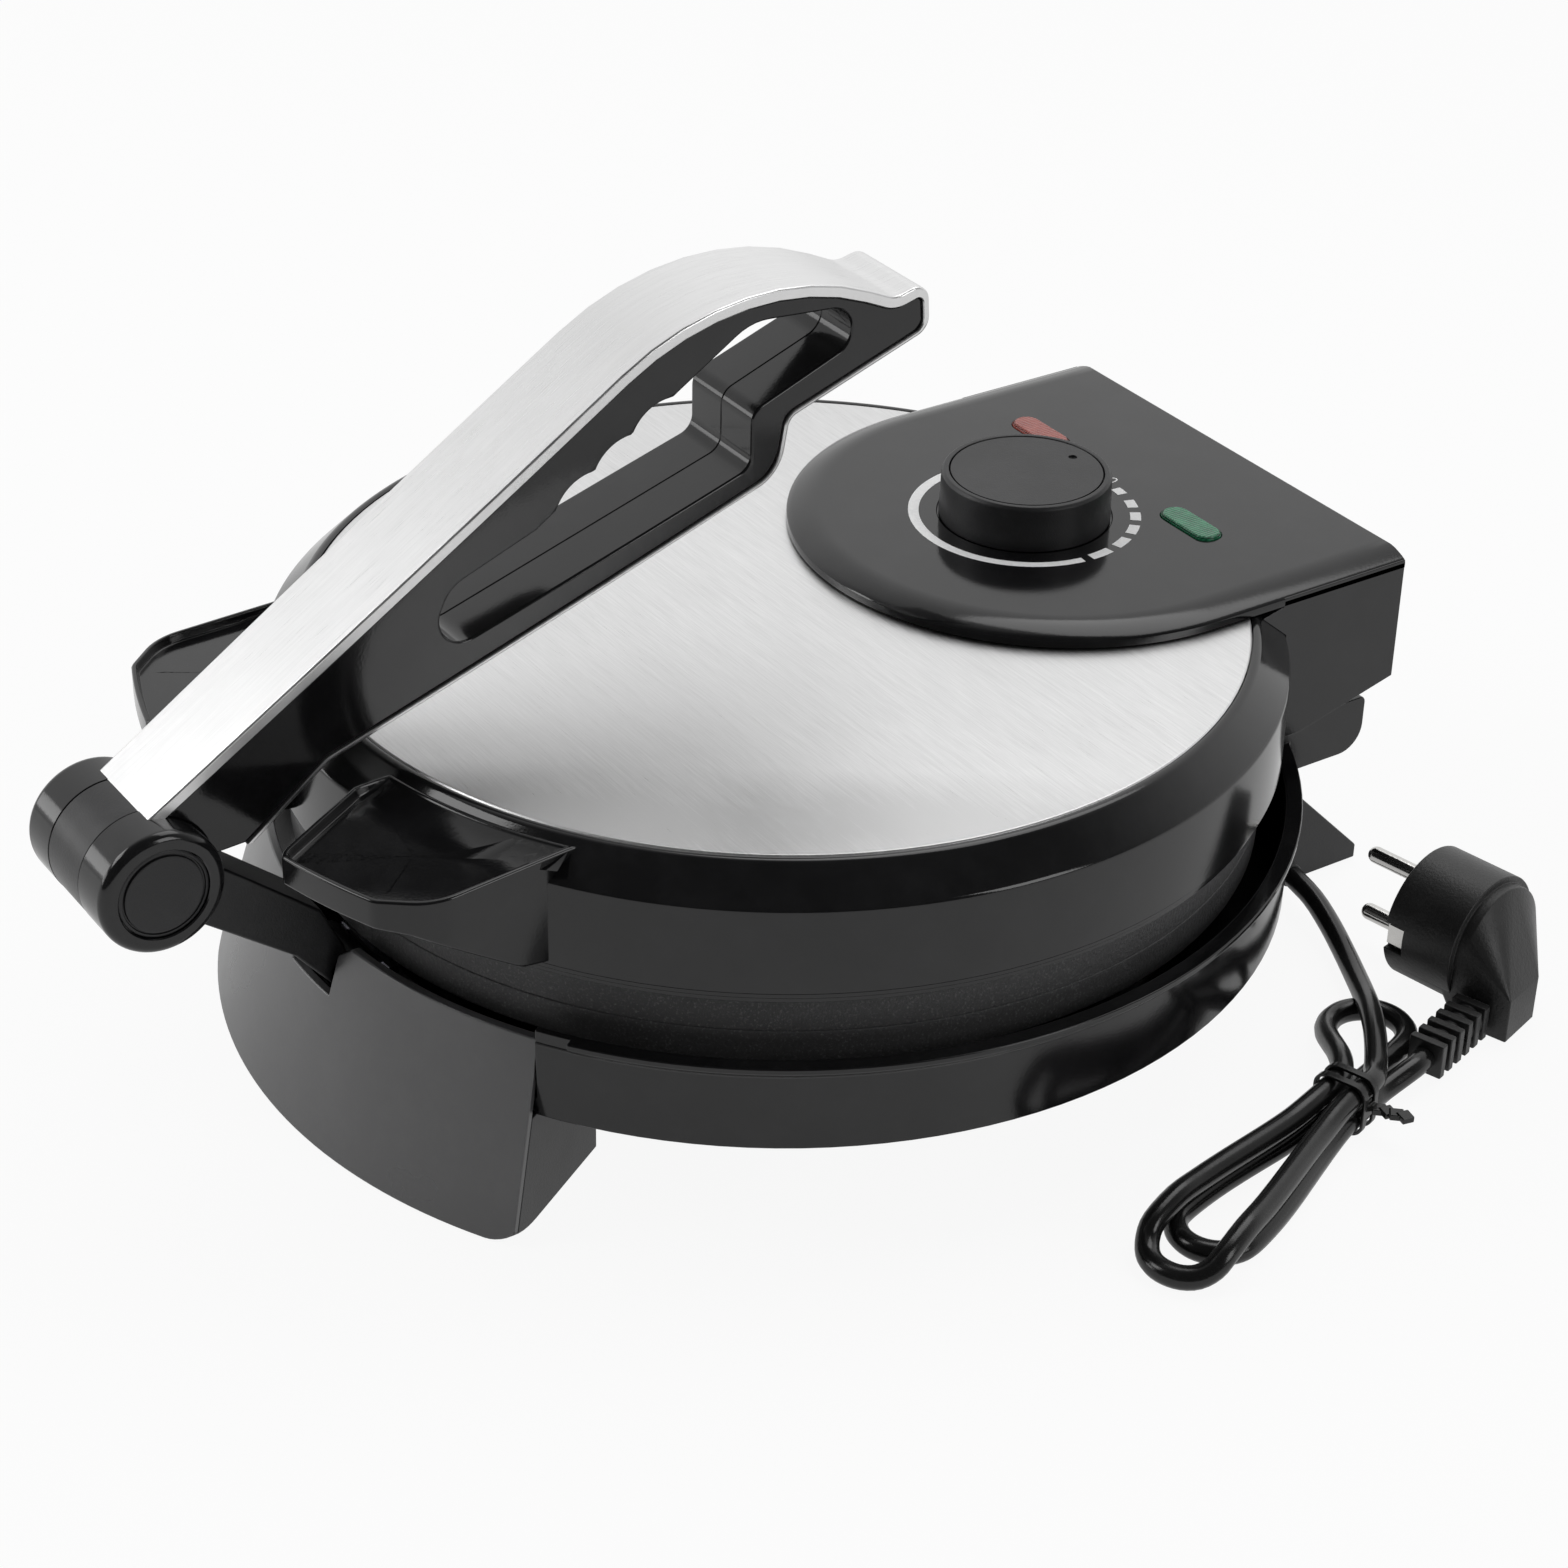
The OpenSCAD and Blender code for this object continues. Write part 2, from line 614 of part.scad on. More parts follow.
lobe_top = concat(
    [for (i = [1:side_rings]) let (p = lobe_side(i / side_rings, lobe_top_l, lobe_top_w, half_pitch))
        to_table(p.x, p.y, droop(p.x))],
    [for (i = [1:side_rings - 1]) let (p = lobe_fold(90 - 180 * i / side_rings, lobe_top_l, lobe_top_w))
        to_table(p.x, p.y, droop(p.x))],
    [for (i = [side_rings:-1:1]) let (p = lobe_side(i / side_rings, lobe_top_l, lobe_top_w, -half_pitch))
        to_table(p.x, p.y, droop(p.x))]);
lobe_back_v = lobe_back_r + half_pitch;
lobe_back = concat(
    [for (i = [0:side_rings]) let (t = i / side_rings)
        to_table(-t * lobe_back_u, -half_pitch - 2 * lobe_back_r * ease(t),
            high_z - cord_pitch * ease(t * 1.3 - 0.3))],
    [for (i = [1:side_rings - 1]) let (a = 180 * i / side_rings)
        to_table(-lobe_back_u - lobe_back_r * sin(a), -lobe_back_v - lobe_back_r * cos(a), hank_z)],
    [for (i = [side_rings:-1:1]) to_table(-lobe_back_u * i / side_rings, -half_pitch, hank_z)]);
lobe_low = concat(
    [for (i = [0:side_rings]) let (p = lobe_side(i / side_rings, lobe_low_l, lobe_low_w, -half_pitch))
        to_table(p.x, p.y, hank_z)],
    [for (i = [1:side_rings - 1]) let (p = lobe_fold(180 * i / side_rings - 90, lobe_low_l, lobe_low_w))
        to_table(p.x, p.y, hank_z)],
    [for (i = [side_rings:-1:1]) let (p = lobe_side(i / side_rings, lobe_low_l, lobe_low_w, half_pitch))
        to_table(p.x, p.y, hank_z)]);
hank_path = concat([to_table(hank_end_u, half_pitch, high_z), to_table(0, half_pitch, high_z)],
    lobe_top, lobe_back, lobe_low,
    [to_table(0, half_pitch, hank_z), to_table(hank_end_u, half_pitch, hank_z)]);
hank_dir = [hank_u.x, hank_u.y, 0];
lead_path = concat(lead_points, [hank_path[0] - 6 * hank_dir, hank_path[0]]);
plug_lead_start = hank_path[len(hank_path) - 1];
relief_start = [relief_at.x, relief_at.y, relief_z];
plug_lead_path = [plug_lead_start, plug_lead_start - 6.4 * hank_dir,
    relief_start + 6.4 * hank_dir, relief_start];

// Least gap of the hank to itself and the length of each stretch, measured on points
function path_length(p) = len(p) < 2 ? 0 : [for (i = 1, s = norm(p[1] - p[0]); i < len(p);
    i = i + 1, s = s + (i < len(p) ? norm(p[i] - p[i - 1]) : 0)) s][len(p) - 2];
function finer(p, k) = [for (i = [0:len(p) - 2], j = [0:k - 1]) p[i] + (p[i + 1] - p[i]) * j / k];
gap_points = finer(hank_path, 3);
gap_skip = 12;
hank_gap = min([for (i = [0:len(gap_points) - 1], j = [i + gap_skip:1:len(gap_points) - 1])
    norm(gap_points[i] - gap_points[j])]) - cord_d;
lead_gap = min([for (a = finer(lead_path, 3), b = gap_points) norm(a - b)
    + (norm(a - hank_path[0]) < 3 * cord_d ? far : 0)]) - cord_d;
union() {
    echo(hank_gap = hank_gap, lead_gap = lead_gap);
    echo(lead = path_length(lead_path), hank = path_length(hank_path),
        plug_lead = path_length(plug_lead_path));
}

module cord_lead() { unit("#101010") tube(lead_path, cord_r, 8, [1, 0, 0], hank_dir); }
module cord_hank() { unit("#101010") tube(hank_path, cord_r, 6, hank_dir, -hank_dir); }
module plug_lead() { unit("#101010") tube(plug_lead_path, cord_r, 8, -hank_dir, -hank_dir); }

// Moves a piece drawn along X onto the hank's line, at u along it
module on_hank(u) {
    translate([hank_at.x + u * hank_u.x, hank_at.y + u * hank_u.y, 0])
        rotate([0, 0, atan2(hank_u.y, hank_u.x)]) children();
}

module cord_tie() {
    mid_z = hank_z + tie_lift + half_pitch;
    inner = half_pitch + cord_r + 0.3;
    band = 0.9;
    unit("#0c0c0c") {
        on_hank(0) for (u = [-2.6, 2.6]) translate([u, 0, mid_z]) along_x(2.2) difference() {
            polygon(rounded([for (s = [[-1, -1], [1, -1], [1, 1], [-1, 1]])
                [s.x * (inner + band), s.y * (inner + band), cord_r + band]]));
            polygon(rounded([for (s = [[-1, -1], [1, -1], [1, 1], [-1, 1]])
                [s.x * inner, s.y * inner, cord_r]]));
        }
        // the bridge between the two wraps, and the twisted end
        on_hank(0) {
            translate([-2.6, inner, mid_z - 2]) cube([5.2, band, 4]);
            for (k = [0:3]) translate([-1.5, inner + band + 1.6 + 2.6 * k, mid_z + 0.4 * k])
                rotate([0, 0, 30 - 60 * (k % 2)]) cube([3.4, 3.6, 1.8], center = true);
        }
    }
}

module at_relief() {
    translate([relief_at.x, relief_at.y, relief_z])
        rotate([0, 0, atan2(-hank_u.y, -hank_u.x)]) children();
}

module plug_relief() {
    rib_pitch = relief_l / relief_ribs;
    unit("#151515") difference() {
        at_relief() rotate([0, 90, 0]) {
            cylinder(r1 = cord_r + 0.6, r2 = cord_r + 1.4, h = relief_l + 1);
            for (i = [0:relief_ribs - 1]) translate([0, 0, i * rib_pitch])
                rotate([0, 0, 45]) cylinder(r = (cord_r + 2) * sqrt(2), h = rib_pitch * 0.55, $fn = 4);
        }
        plug_shape();
    }
}

module at_plug() { translate([plug_at.x, plug_at.y, plug_z]) rotate([0, 0, plug_turn]) children(); }

module plug_shape() {
    at_plug() x_cylinder(plug_r, 0, plug_l);
    hull() {
        at_plug() x_cylinder(plug_r - 2, plug_l - 6, plug_l + 3);
        at_relief() block(relief_l, relief_l + 16, -10, 6, -relief_z + 0.3, 7);
    }
}

module plug_body() {
    unit("#131313") difference() {
        plug_shape();
        // side grooves that the earth clips lie in
        at_plug() for (s = [-1, 1]) translate([0, s * plug_r, 0])
            cube([12, 5, 8], center = true);
        at_plug() for (s = [-1, 1]) x_cylinder(plug_pin_d / 2 + pin_fit, -1, 10, 0, s * 9.5);
    }
}

module plug_pins() {
    unit("#c9cbce") at_plug() for (s = [-1, 1]) {
        x_cylinder(plug_pin_d / 2, 1 - plug_pin_l, 10, 0, s * 9.5);
        translate([1 - plug_pin_l, 0, s * 9.5]) sphere(d = plug_pin_d, $fn = 32);
    }
}

module plug_earth_clips() {
    unit("#c9cbce") at_plug() for (s = [-1, 1]) translate([0, s * (plug_r - 2.5 + 0.4), 0])
        translate([0.2, -0.4, -3]) cube([5.7, 0.8, 6]);
}

// ---- lid -----------------------------------------------------------------------------------

module ring_envelope() {
    rotate_extrude() polygon([[0, ring_z], [ring_r - 2 * groove_step, ring_z],
        [ring_r - 2 * groove_step, ring_z + groove_h], [ring_r - groove_step, ring_z + groove_h],
        [ring_r - groove_step, ring_z + 2 * groove_h], [ring_r, ring_z + 2 * groove_h],
        [ring_r, knee_z], [ring_top_r, lid_z], [0, lid_z]]);
}

module lid_ring() {
    inner = ring_r - wall;
    flange_r = plate_r - 12;
    disc_seat = lid_z - disc_t;
    unit("#141517") difference() {
        ring_envelope();
        // hollow between the screw flange and the disc's seat
        rotate_extrude() polygon([[0, ring_z + wall], [inner, ring_z + wall], [inner, knee_z - 1],
            [ring_top_r - wall, disc_seat - wall], [disc_r - 6, disc_seat - wall],
            [disc_r - 6, disc_seat], [disc_r + slack, disc_seat], [disc_r + slack, lid_z + 1], [0, lid_z + 1]]);
        translate([0, 0, ring_z - 1]) cylinder(r = flange_r, h = far);
        four_round(lid_screw_r) translate([0, 0, ring_z - 1])
            cylinder(r = screw_r + pin_fit, h = wall + 2);
        // room for the panel and its works
        translate([0, 0, ring_z + wall + 1]) linear_extrude(far) panel_outline(-wall - 3);
        block(-ear_x - ear_w, ear_x + ear_w, plate_r - 13, far, ring_z + 14, far);
    }
}

module steel_disc() {
    unit("#c9cacb") difference() {
        rotate_extrude() polygon([[0, lid_z - disc_t], [disc_r, lid_z - disc_t],
            [disc_r, lid_z - 0.4], [disc_r - 0.5, lid_z], [0, lid_z]]);
        translate([0, 0, lid_z - disc_t - 1]) linear_extrude(far) panel_outline(-wall - 3);
    }
}

module panel_outline(grow) {
    intersection() {
        union() {
            translate([0, panel_c]) circle(r = panel_r + grow);
            translate([-panel_r - grow, panel_c]) square([2 * (panel_r + grow), far]);
        }
        translate([-far, 0]) square([2 * far, panel_rear_y + grow]);
    }
}

// Panel: a D outline with a sloped edge
module panel_solid() {
    translate([0, 0, panel_z]) linear_extrude(panel_t - panel_bevel_h) panel_outline(0);
    intersection() {
        translate([0, panel_c, panel_crease_z])
            cylinder(r1 = panel_r, r2 = panel_r - panel_bevel, h = panel_bevel_h);
        block(-far, far, -far, panel_c + eps, 0, far);
    }
    translate([0, panel_rear_y, panel_crease_z]) rotate([90, 0, 0])
        linear_extrude(panel_rear_y - panel_c) polygon([[-panel_r, 0], [panel_r, 0],
            [panel_r - panel_bevel, panel_bevel_h], [-panel_r + panel_bevel, panel_bevel_h]]);
}

module capsule(length, width, grow, z, h) {
    r = width / 2 + grow;
    for (s = [-1, 1]) translate([s * (length - width) / 2, 0, z]) cylinder(r = r, h = h);
    translate([-(length - width) / 2, -r, z]) cube([length - width, 2 * r, h]);
}

module lens(pos) {
    translate([pos.x, pos.y, 0]) {
        capsule(lens_l, lens_w, 0, panel_z - 1, panel_top_z + lens_rise / 2 - panel_z + 1);
        capsule(lens_l - 1.2, lens_w - 1.2, 0, panel_z - 1, panel_top_z + lens_rise - panel_z + 1);
        capsule(lens_l, lens_w, 1.2, panel_z - 1, panel_crease_z - panel_z + 1 - pin_fit);
    }
}

module control_panel() {
    rim = wall;
    unit("#1a1b1e") difference() {
        panel_solid();
        // hollow underneath, inside a rim that stands on the disc
        translate([0, 0, panel_z - 1]) linear_extrude(panel_crease_z - panel_z + 1) panel_outline(-rim);
        // the rear housing's walls stand under the back of the panel
        block(-far, far, panel_c + 24, far, 0, panel_crease_z);
        translate([0, knob_y, panel_top_z - panel_recess]) cylinder(r = panel_recess_r, h = far);
        translate([0, knob_y, 0]) cylinder(r = shaft_r + 0.08, h = far);
        for (p = [red_lens_pos, green_lens_pos]) translate([p.x, p.y, 0])
            capsule(lens_l, lens_w, pin_fit, 0, far);
    }
}

module housing_side() {
    polygon([[panel_c + 24, panel_crease_z], [panel_c + 24, panel_z], [panel_c + 10, panel_crease_z - 6],
        [panel_c + 10, ring_z + 6], [plate_r - 20, ring_z + 1], [plate_r - 15, housing_low_front],
        [plate_r - 8, housing_low_front], [panel_rear_y, housing_low_rear],
        [panel_rear_y, panel_crease_z]]);
}

module rear_housing() {
    lug_in = ear_x + ear_w / 2 + 1.5;
    unit("#17181a") difference() {
        union() {
            both_sides() translate([panel_r - wall / 2, 0, 0]) along_x(wall) housing_side();
            block(-panel_r + eps, panel_r - eps, panel_rear_y - wall, panel_rear_y, housing_low_rear,
                panel_crease_z);
            both_sides() x_cylinder(8, lug_in, panel_r - wall + eps, hinge_y, hinge_z);
        }
        ring_envelope();
        translate([0, 0, lid_z - eps]) cylinder(r = ring_top_r, h = seam + eps);
        both_sides() x_cylinder(hinge_pin_r + pin_fit, lug_in - 1, panel_r - wall, hinge_y, hinge_z);
        // slots that the hinge ears swing through
        both_sides() block(ear_x - ear_w / 2 - 1.5, ear_x + ear_w / 2 + 1.5, panel_rear_y - 8,
            panel_rear_y + 1, 0, hinge_z + 3.5);
    }
}

module tab_sector(section) { rotate([0, 0, -90]) rotate_extrude(angle = 50) polygon(section); }

module lift_tab() {
    lip_low = tab_z - tab_face;
    full = [[tab_in_r, tab_z], [ring_r, knee_z], [ring_r, ring_z + 4],
        [ring_r + 6, ring_z + 5], [tab_r - 4, lip_low - 1.5], [tab_r, lip_low],
        [tab_r, tab_z - 1.5], [tab_r - 1.5, tab_z]];
    dish = [[tab_in_r + 2, far], [tab_in_r + 2, tab_z + eps], [ring_r, tab_z - tab_dish * 0.7],
        [tab_r - 12, tab_z - tab_dish], [tab_r - tab_rim - 1, tab_z], [tab_r - tab_rim - 1, far]];
    inner = inset_outline(tab_outline, [for (p = tab_outline) tab_rim]);
    difference() {
        intersection() {
            tab_sector(full);
            linear_extrude(far) polygon(rounded(tab_outline));
        }
        intersection() {
            tab_sector(dish);
            linear_extrude(far) polygon(rounded(inner));
        }
    }
}

module lift_tab_right() { unit("#141517") lift_tab(); }
module lift_tab_left() { unit("#141517") mirror([1, 0, 0]) lift_tab(); }

module upper_plate() {
    unit("#26272a") difference() {
        plate(parting_z + plate_gap, ring_z, parting_z + plate_gap + plate_web);
        four_round(lid_screw_r) translate([0, 0, ring_z - 7]) cylinder(r = screw_r + pin_fit, h = far);
    }
    unit("#26272a") difference() {
        four_round(lid_screw_r) translate([0, 0, parting_z + plate_gap + plate_web - eps])
            cylinder(r = 4.2, h = ring_z - parting_z - plate_gap - plate_web + eps);
        four_round(lid_screw_r) translate([0, 0, ring_z - 5]) cylinder(r = screw_r + pin_fit, h = far);
    }
}

module upper_heater() { unit("#5c5a57") heater(parting_z + plate_gap + plate_web, 1); }

module upper_reflector() {
    seat = ring_z + wall;
    rim_r = plate_r - 13;
    unit("#b9bbbe") difference() {
        rotate_extrude() polygon([[0, seat + 12], [rim_r - 10, seat + 12], [rim_r - 4, seat],
            [rim_r + 3, seat], [rim_r + 3, seat + 0.8], [rim_r - 3.5, seat + 0.8],
            [rim_r - 9.5, seat + 12.8], [0, seat + 12.8]]);
        for (a = [-1, 1]) rotate([0, 0, 90 + a * heater_gap_deg / 2]) translate([heater_r, 0, 0])
            cylinder(r = heater_d / 2 + 2, h = far);
        four_round(lid_screw_r) cylinder(r = screw_head_r + slack, h = far);
    }
}

module thermostat() {
    seat = panel_crease_z;
    unit("#d8d4c8") difference() {
        union() {
            translate([0, knob_y, seat - 7]) cylinder(r = 5.5, h = 7);
            translate([0, knob_y, seat - 20]) cylinder(r = 14, h = 13 + eps);
            block(-4, 4, knob_y - 22, knob_y - 12, seat - 16, seat - 15);
            block(-4, 4, knob_y + 12, knob_y + 22, seat - 16, seat - 15);
        }
        translate([0, knob_y, seat - 15]) cylinder(r = shaft_r + 0.08, h = far);
    }
}

module neon_lamps() {
    unit("#e8b090") for (p = [red_lens_pos, green_lens_pos])
        translate([p.x, p.y, 0]) rotate([0, 90, 0]) translate([-panel_z + 1 + 3, 0, -7])
            cylinder(r = 3, h = 14);
}

module red_lens() { unit("#a8261c") lens(red_lens_pos); }
module green_lens() { unit("#17733c") lens(green_lens_pos); }

module lid_screws() {
    unit("#8a8c90") four_round(lid_screw_r) translate([0, 0, ring_z + wall + screw_head_h])
        mirror([0, 0, 1]) screw(wall + screw_head_h + 4.5);
}

// ---- link and handle -----------------------------------------------------------------------

module link_bar_outline() {
    top = link_up * link_h / 2;
    end = link_dir * link_straight;
    polygon([-top, end - top, link_eye + [-4.5, -3.9], link_eye, link_eye + [-1.5, 8],
        link_eye + [-4.5, 14], end + top, top]);
}

module link_arm() {
    unit("#17181a") at_pivot() difference() {
        union() {
            along_x(link_w) link_bar_outline();
            x_cylinder(barrel_r, -knuckle_half, knuckle_half);
            x_cylinder(link_eye_r, -link_w / 2, link_w / 2, link_eye.x, link_eye.y);
        }
        x_cylinder(pivot_pin_r + pin_fit, -far, far);
        x_cylinder(link_pin_r + pin_fit, -far, far, link_eye.x, link_eye.y);
    }
}

module black_outline() { polygon(rounded(inset_outline(band_outline, band_edges))); }

module finger_opening() {
    along_x(far) polygon(rounded(opening_outline));
    for (i = [0:scallops - 1])
        let (p = scallop_first + i * scallop_pitch * scallop_dir
            + (scallop_r - scallop_rise) * [-scallop_dir.y, scallop_dir.x])
        x_cylinder(scallop_r, -far, far, p.x, p.y);
}

// Right half of the black handle; the screw heads sit in the left half
module handle_half(screw_x) {
    difference() {
        union() {
            translate([black_half / 2, 0, 0]) along_x(black_half) black_outline();
            x_cylinder(barrel_r, knuckle_half + knuckle_gap, barrel_half);
        }
        finger_opening();
        x_cylinder(barrel_r + seam, -1, knuckle_half + knuckle_gap);
        x_cylinder(pivot_pin_r + pin_fit, -1, far);
        x_cylinder(pivot_cap_r, barrel_half - pivot_cap_t, far);
        for (p = handle_screw_at) {
            x_cylinder(screw_r + pin_fit, -1, screw_x, p.x, p.y);
            if (screw_x > black_half) x_cylinder(screw_head_r + slack, handle_screw_head_x, far, p.x, p.y);
        }
    }
}

module handle_right_half() { unit("#17181a") at_pivot() handle_half(handle_screw_head_x); }
module handle_left_half() { unit("#17181a") at_pivot() mirror([1, 0, 0]) handle_half(far); }

module handle_screws() {
    unit("#8a8c90") at_pivot() for (p = handle_screw_at)
        translate([-handle_screw_head_x - screw_head_h, p.x, p.y]) rotate([0, 90, 0])
            screw(2 * handle_screw_head_x + screw_head_h - 1);
}

module handle_band() {
    unit("#cfd0d1") at_pivot() difference() {
        along_x(handle_w) polygon(rounded(band_outline));
        along_x(far) black_outline();
        x_cylinder(barrel_r + slack, -far, far);
    }
}

module pivot_pin() {
    unit("#9a9ca0") at_pivot() x_cylinder(pivot_pin_r, -barrel_half + pivot_cap_t, barrel_half - pivot_cap_t);
}

module pivot_cap() {
    groove = 0.5;
    at_pivot() translate([barrel_half - pivot_cap_t, 0, 0]) rotate([0, 90, 0]) rotate_extrude()
        polygon([[0, 0], [pivot_cap_r - pin_fit, 0], [pivot_cap_r - pin_fit, pivot_cap_t - groove],
            [pivot_cap_r - 1, pivot_cap_t - groove], [pivot_cap_r - 1, pivot_cap_t], [0, pivot_cap_t]]);
}

module pivot_cap_right() { unit("#17181a") pivot_cap(); }
module pivot_cap_left() { unit("#17181a") mirror([1, 0, 0]) pivot_cap(); }

// ---- knob ----------------------------------------------------------------------------------

module knob() {
    hub = shaft_r + 3;
    unit("#141416") translate([0, knob_y, knob_z]) difference() {
        rotate_extrude() polygon([[0, knob_h - cap_t - 2], [hub, knob_h - cap_t - 2], [hub, 1],
            [knob_r - knob_wall, 0.8], [knob_r - knob_wall, 0], [knob_r, 0], [knob_r - 0.3, knob_h - 0.8],
            [knob_r - 1, knob_h], [cap_r, knob_h], [cap_r, knob_h - cap_t], [0, knob_h - cap_t]]);
        translate([0, 0, -1]) cylinder(r = shaft_r + pin_fit, h = knob_h - cap_t - 1);
    }
}

module knob_cap() {
    unit("#18181a") translate([0, knob_y, knob_z + knob_h - cap_t]) difference() {
        cylinder(r = cap_r - 0.4, h = cap_t - 0.1);
        translate([0, 16, 1.2]) cylinder(r = 1.2, h = 2);
    }
}

module control_shaft() {
    low = panel_crease_z - 14;
    unit("#a9abae") translate([0, knob_y, low]) cylinder(r = shaft_r, h = knob_z + knob_h - cap_t - 3 - low);
}

// ---- drawing -------------------------------------------------------------------------------

base_shell();
front_foot();
front_apron();
rear_foot();
rubber_feet();
bottom_cover();
base_screws();
lower_plate();
lower_heater();
lower_reflector();
hinge_pins();
link_bracket();
link_pin();
terminal_block();
cord_grip();
cord_lead();
cord_hank();
plug_lead();
cord_tie();
plug_relief();
plug_body();
plug_pins();
plug_earth_clips();
lid_ring();
steel_disc();
lift_tab_left();
lift_tab_right();
rear_housing();
control_panel();
upper_plate();
upper_heater();
upper_reflector();
thermostat();
neon_lamps();
red_lens();
green_lens();
lid_screws();
link_arm();
handle_left_half();
handle_right_half();
handle_band();
pivot_pin();
pivot_cap_left();
pivot_cap_right();
handle_screws();
knob();
knob_cap();
control_shaft();
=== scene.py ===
import json
import math

import bmesh
import bpy
from mathutils import Matrix, Vector


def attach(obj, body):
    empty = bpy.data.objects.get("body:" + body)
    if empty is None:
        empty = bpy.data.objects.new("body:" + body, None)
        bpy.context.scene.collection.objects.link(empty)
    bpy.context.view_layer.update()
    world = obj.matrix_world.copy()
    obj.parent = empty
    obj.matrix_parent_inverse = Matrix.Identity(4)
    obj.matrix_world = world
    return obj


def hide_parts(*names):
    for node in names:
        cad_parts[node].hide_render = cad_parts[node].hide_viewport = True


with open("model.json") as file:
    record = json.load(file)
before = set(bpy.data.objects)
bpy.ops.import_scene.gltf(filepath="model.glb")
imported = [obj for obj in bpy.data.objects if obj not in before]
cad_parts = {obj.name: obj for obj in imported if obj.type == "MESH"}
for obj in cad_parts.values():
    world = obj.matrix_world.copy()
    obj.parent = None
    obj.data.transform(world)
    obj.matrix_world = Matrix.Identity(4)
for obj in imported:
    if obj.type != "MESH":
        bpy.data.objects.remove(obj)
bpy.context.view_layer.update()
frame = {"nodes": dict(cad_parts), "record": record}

# Electric roti maker. Lengths in the numbers below are millimetres, as in the CAD source;
# MM turns them into metres. PLATE_Y is how far the plates' middle lies behind the origin.
MM = 0.001
PLATE_Y = 19
RECORD = frame["record"]
NODES = frame["nodes"]
scene = bpy.context.scene


# ---- camera --------------------------------------------------------------------------------

def make_camera():
    azimuth, elevation, roll = (math.radians(a) for a in (55.774, 31.163, 1.282))
    back = Vector((math.sin(azimuth) * math.cos(elevation),
                   -math.cos(azimuth) * math.cos(elevation), math.sin(elevation)))
    level = Vector((math.cos(azimuth), math.sin(azimuth), 0))
    upright = back.cross(level)
    right = level * math.cos(roll) + upright * math.sin(roll)
    up = upright * math.cos(roll) - level * math.sin(roll)
    data = bpy.data.cameras.new("camera")
    data.lens, data.sensor_width = 83.34, 36
    data.shift_x, data.shift_y = 0.00152, -0.00355
    data.clip_start, data.clip_end = 0.05, 20
    camera = bpy.data.objects.new("camera", data)
    scene.collection.objects.link(camera)
    turn = Matrix((right, up, back)).transposed().to_4x4()
    camera.matrix_world = Matrix.Translation((0.7118, -0.4627, 0.5736)) @ turn
    scene.camera = camera


make_camera()


# ---- shader helpers ------------------------------------------------------------------------

class Shader:
    """A material with a Principled shader and short calls for the nodes in front of it."""

    def __init__(self, name, colour=None, rough=0.4, **sockets):
        self.material = bpy.data.materials.new(name)
        self.material.use_nodes = True
        self.tree = self.material.node_tree
        self.bsdf = self.tree.nodes["Principled BSDF"]
        if colour is not None:
            self.bsdf.inputs["Base Color"].default_value = (*colour, 1)
        self.bsdf.inputs["Roughness"].default_value = rough
        for socket, value in sockets.items():
            self.bsdf.inputs[socket.replace("_", " ")].default_value = value

    def node(self, kind, **values):
        made = self.tree.nodes.new("ShaderNode" + kind)
        for key, value in values.items():
            if hasattr(made, key):
                setattr(made, key, value)
            else:
                self.feed(made.inputs[key], value)
        return made

    def feed(self, socket, value):
        if isinstance(value, bpy.types.NodeSocket):
            self.tree.links.new(value, socket)
        else:
            socket.default_value = value

    def place(self, scale=(1, 1, 1), turn=0):
        """Object coordinates, turned about Z and stretched."""
        coords = self.node("TexCoord").outputs["Object"]
        mapping = self.node("Mapping", Vector=coords)
        mapping.inputs["Rotation"].default_value = (0, 0, math.radians(turn))
        mapping.inputs["Scale"].default_value = scale
        return mapping.outputs["Vector"]

    def noise(self, scale, detail=2, vector=None, rough=0.5):
        made = self.node("TexNoise", Scale=scale, Detail=detail, Roughness=rough,
                         Vector=vector if vector else self.place())
        return made.outputs["Fac"]

    def spread(self, value, low, high, start=0.3, end=0.7):
        """value from start to end, spread from low to high."""
        made = self.node("MapRange")
        for index, item in enumerate((value, start, end, low, high)):
            self.feed(made.inputs[index], item)
        return made.outputs["Result"]

    def mix(self, factor, a, b):
        """Colour a where factor is 0 and b where it is 1."""
        made = self.node("Mix", data_type="RGBA")
        self.feed(made.inputs["Factor"], factor)
        for socket, colour in ((made.inputs[6], a), (made.inputs[7], b)):
            self.feed(socket, colour if isinstance(colour, bpy.types.NodeSocket) else (*colour, 1))
        return made.outputs[2]

    def add(self, a, b, how="ADD"):
        made = self.node("Math", operation=how)
        self.feed(made.inputs[0], a)
        self.feed(made.inputs[1], b)
        return made.outputs[0]

    def add_vector(self, vector, value, share):
        """vector moved by share times value, less its middle."""
        made = self.node("VectorMath", operation="ADD")
        self.feed(made.inputs[0], vector)
        self.feed(made.inputs[1], self.add(self.add(value, 0.5, "SUBTRACT"), share, "MULTIPLY"))
        return made.outputs[0]

    def bump(self, height, distance, strength=1.0):
        made = self.node("Bump", Height=height, Strength=strength, Distance=distance)
        self.feed(self.bsdf.inputs["Normal"], made.outputs["Normal"])

    def colour(self, socket):
        self.feed(self.bsdf.inputs["Base Color"], socket)

    def rough(self, socket):
        self.feed(self.bsdf.inputs["Roughness"], socket)


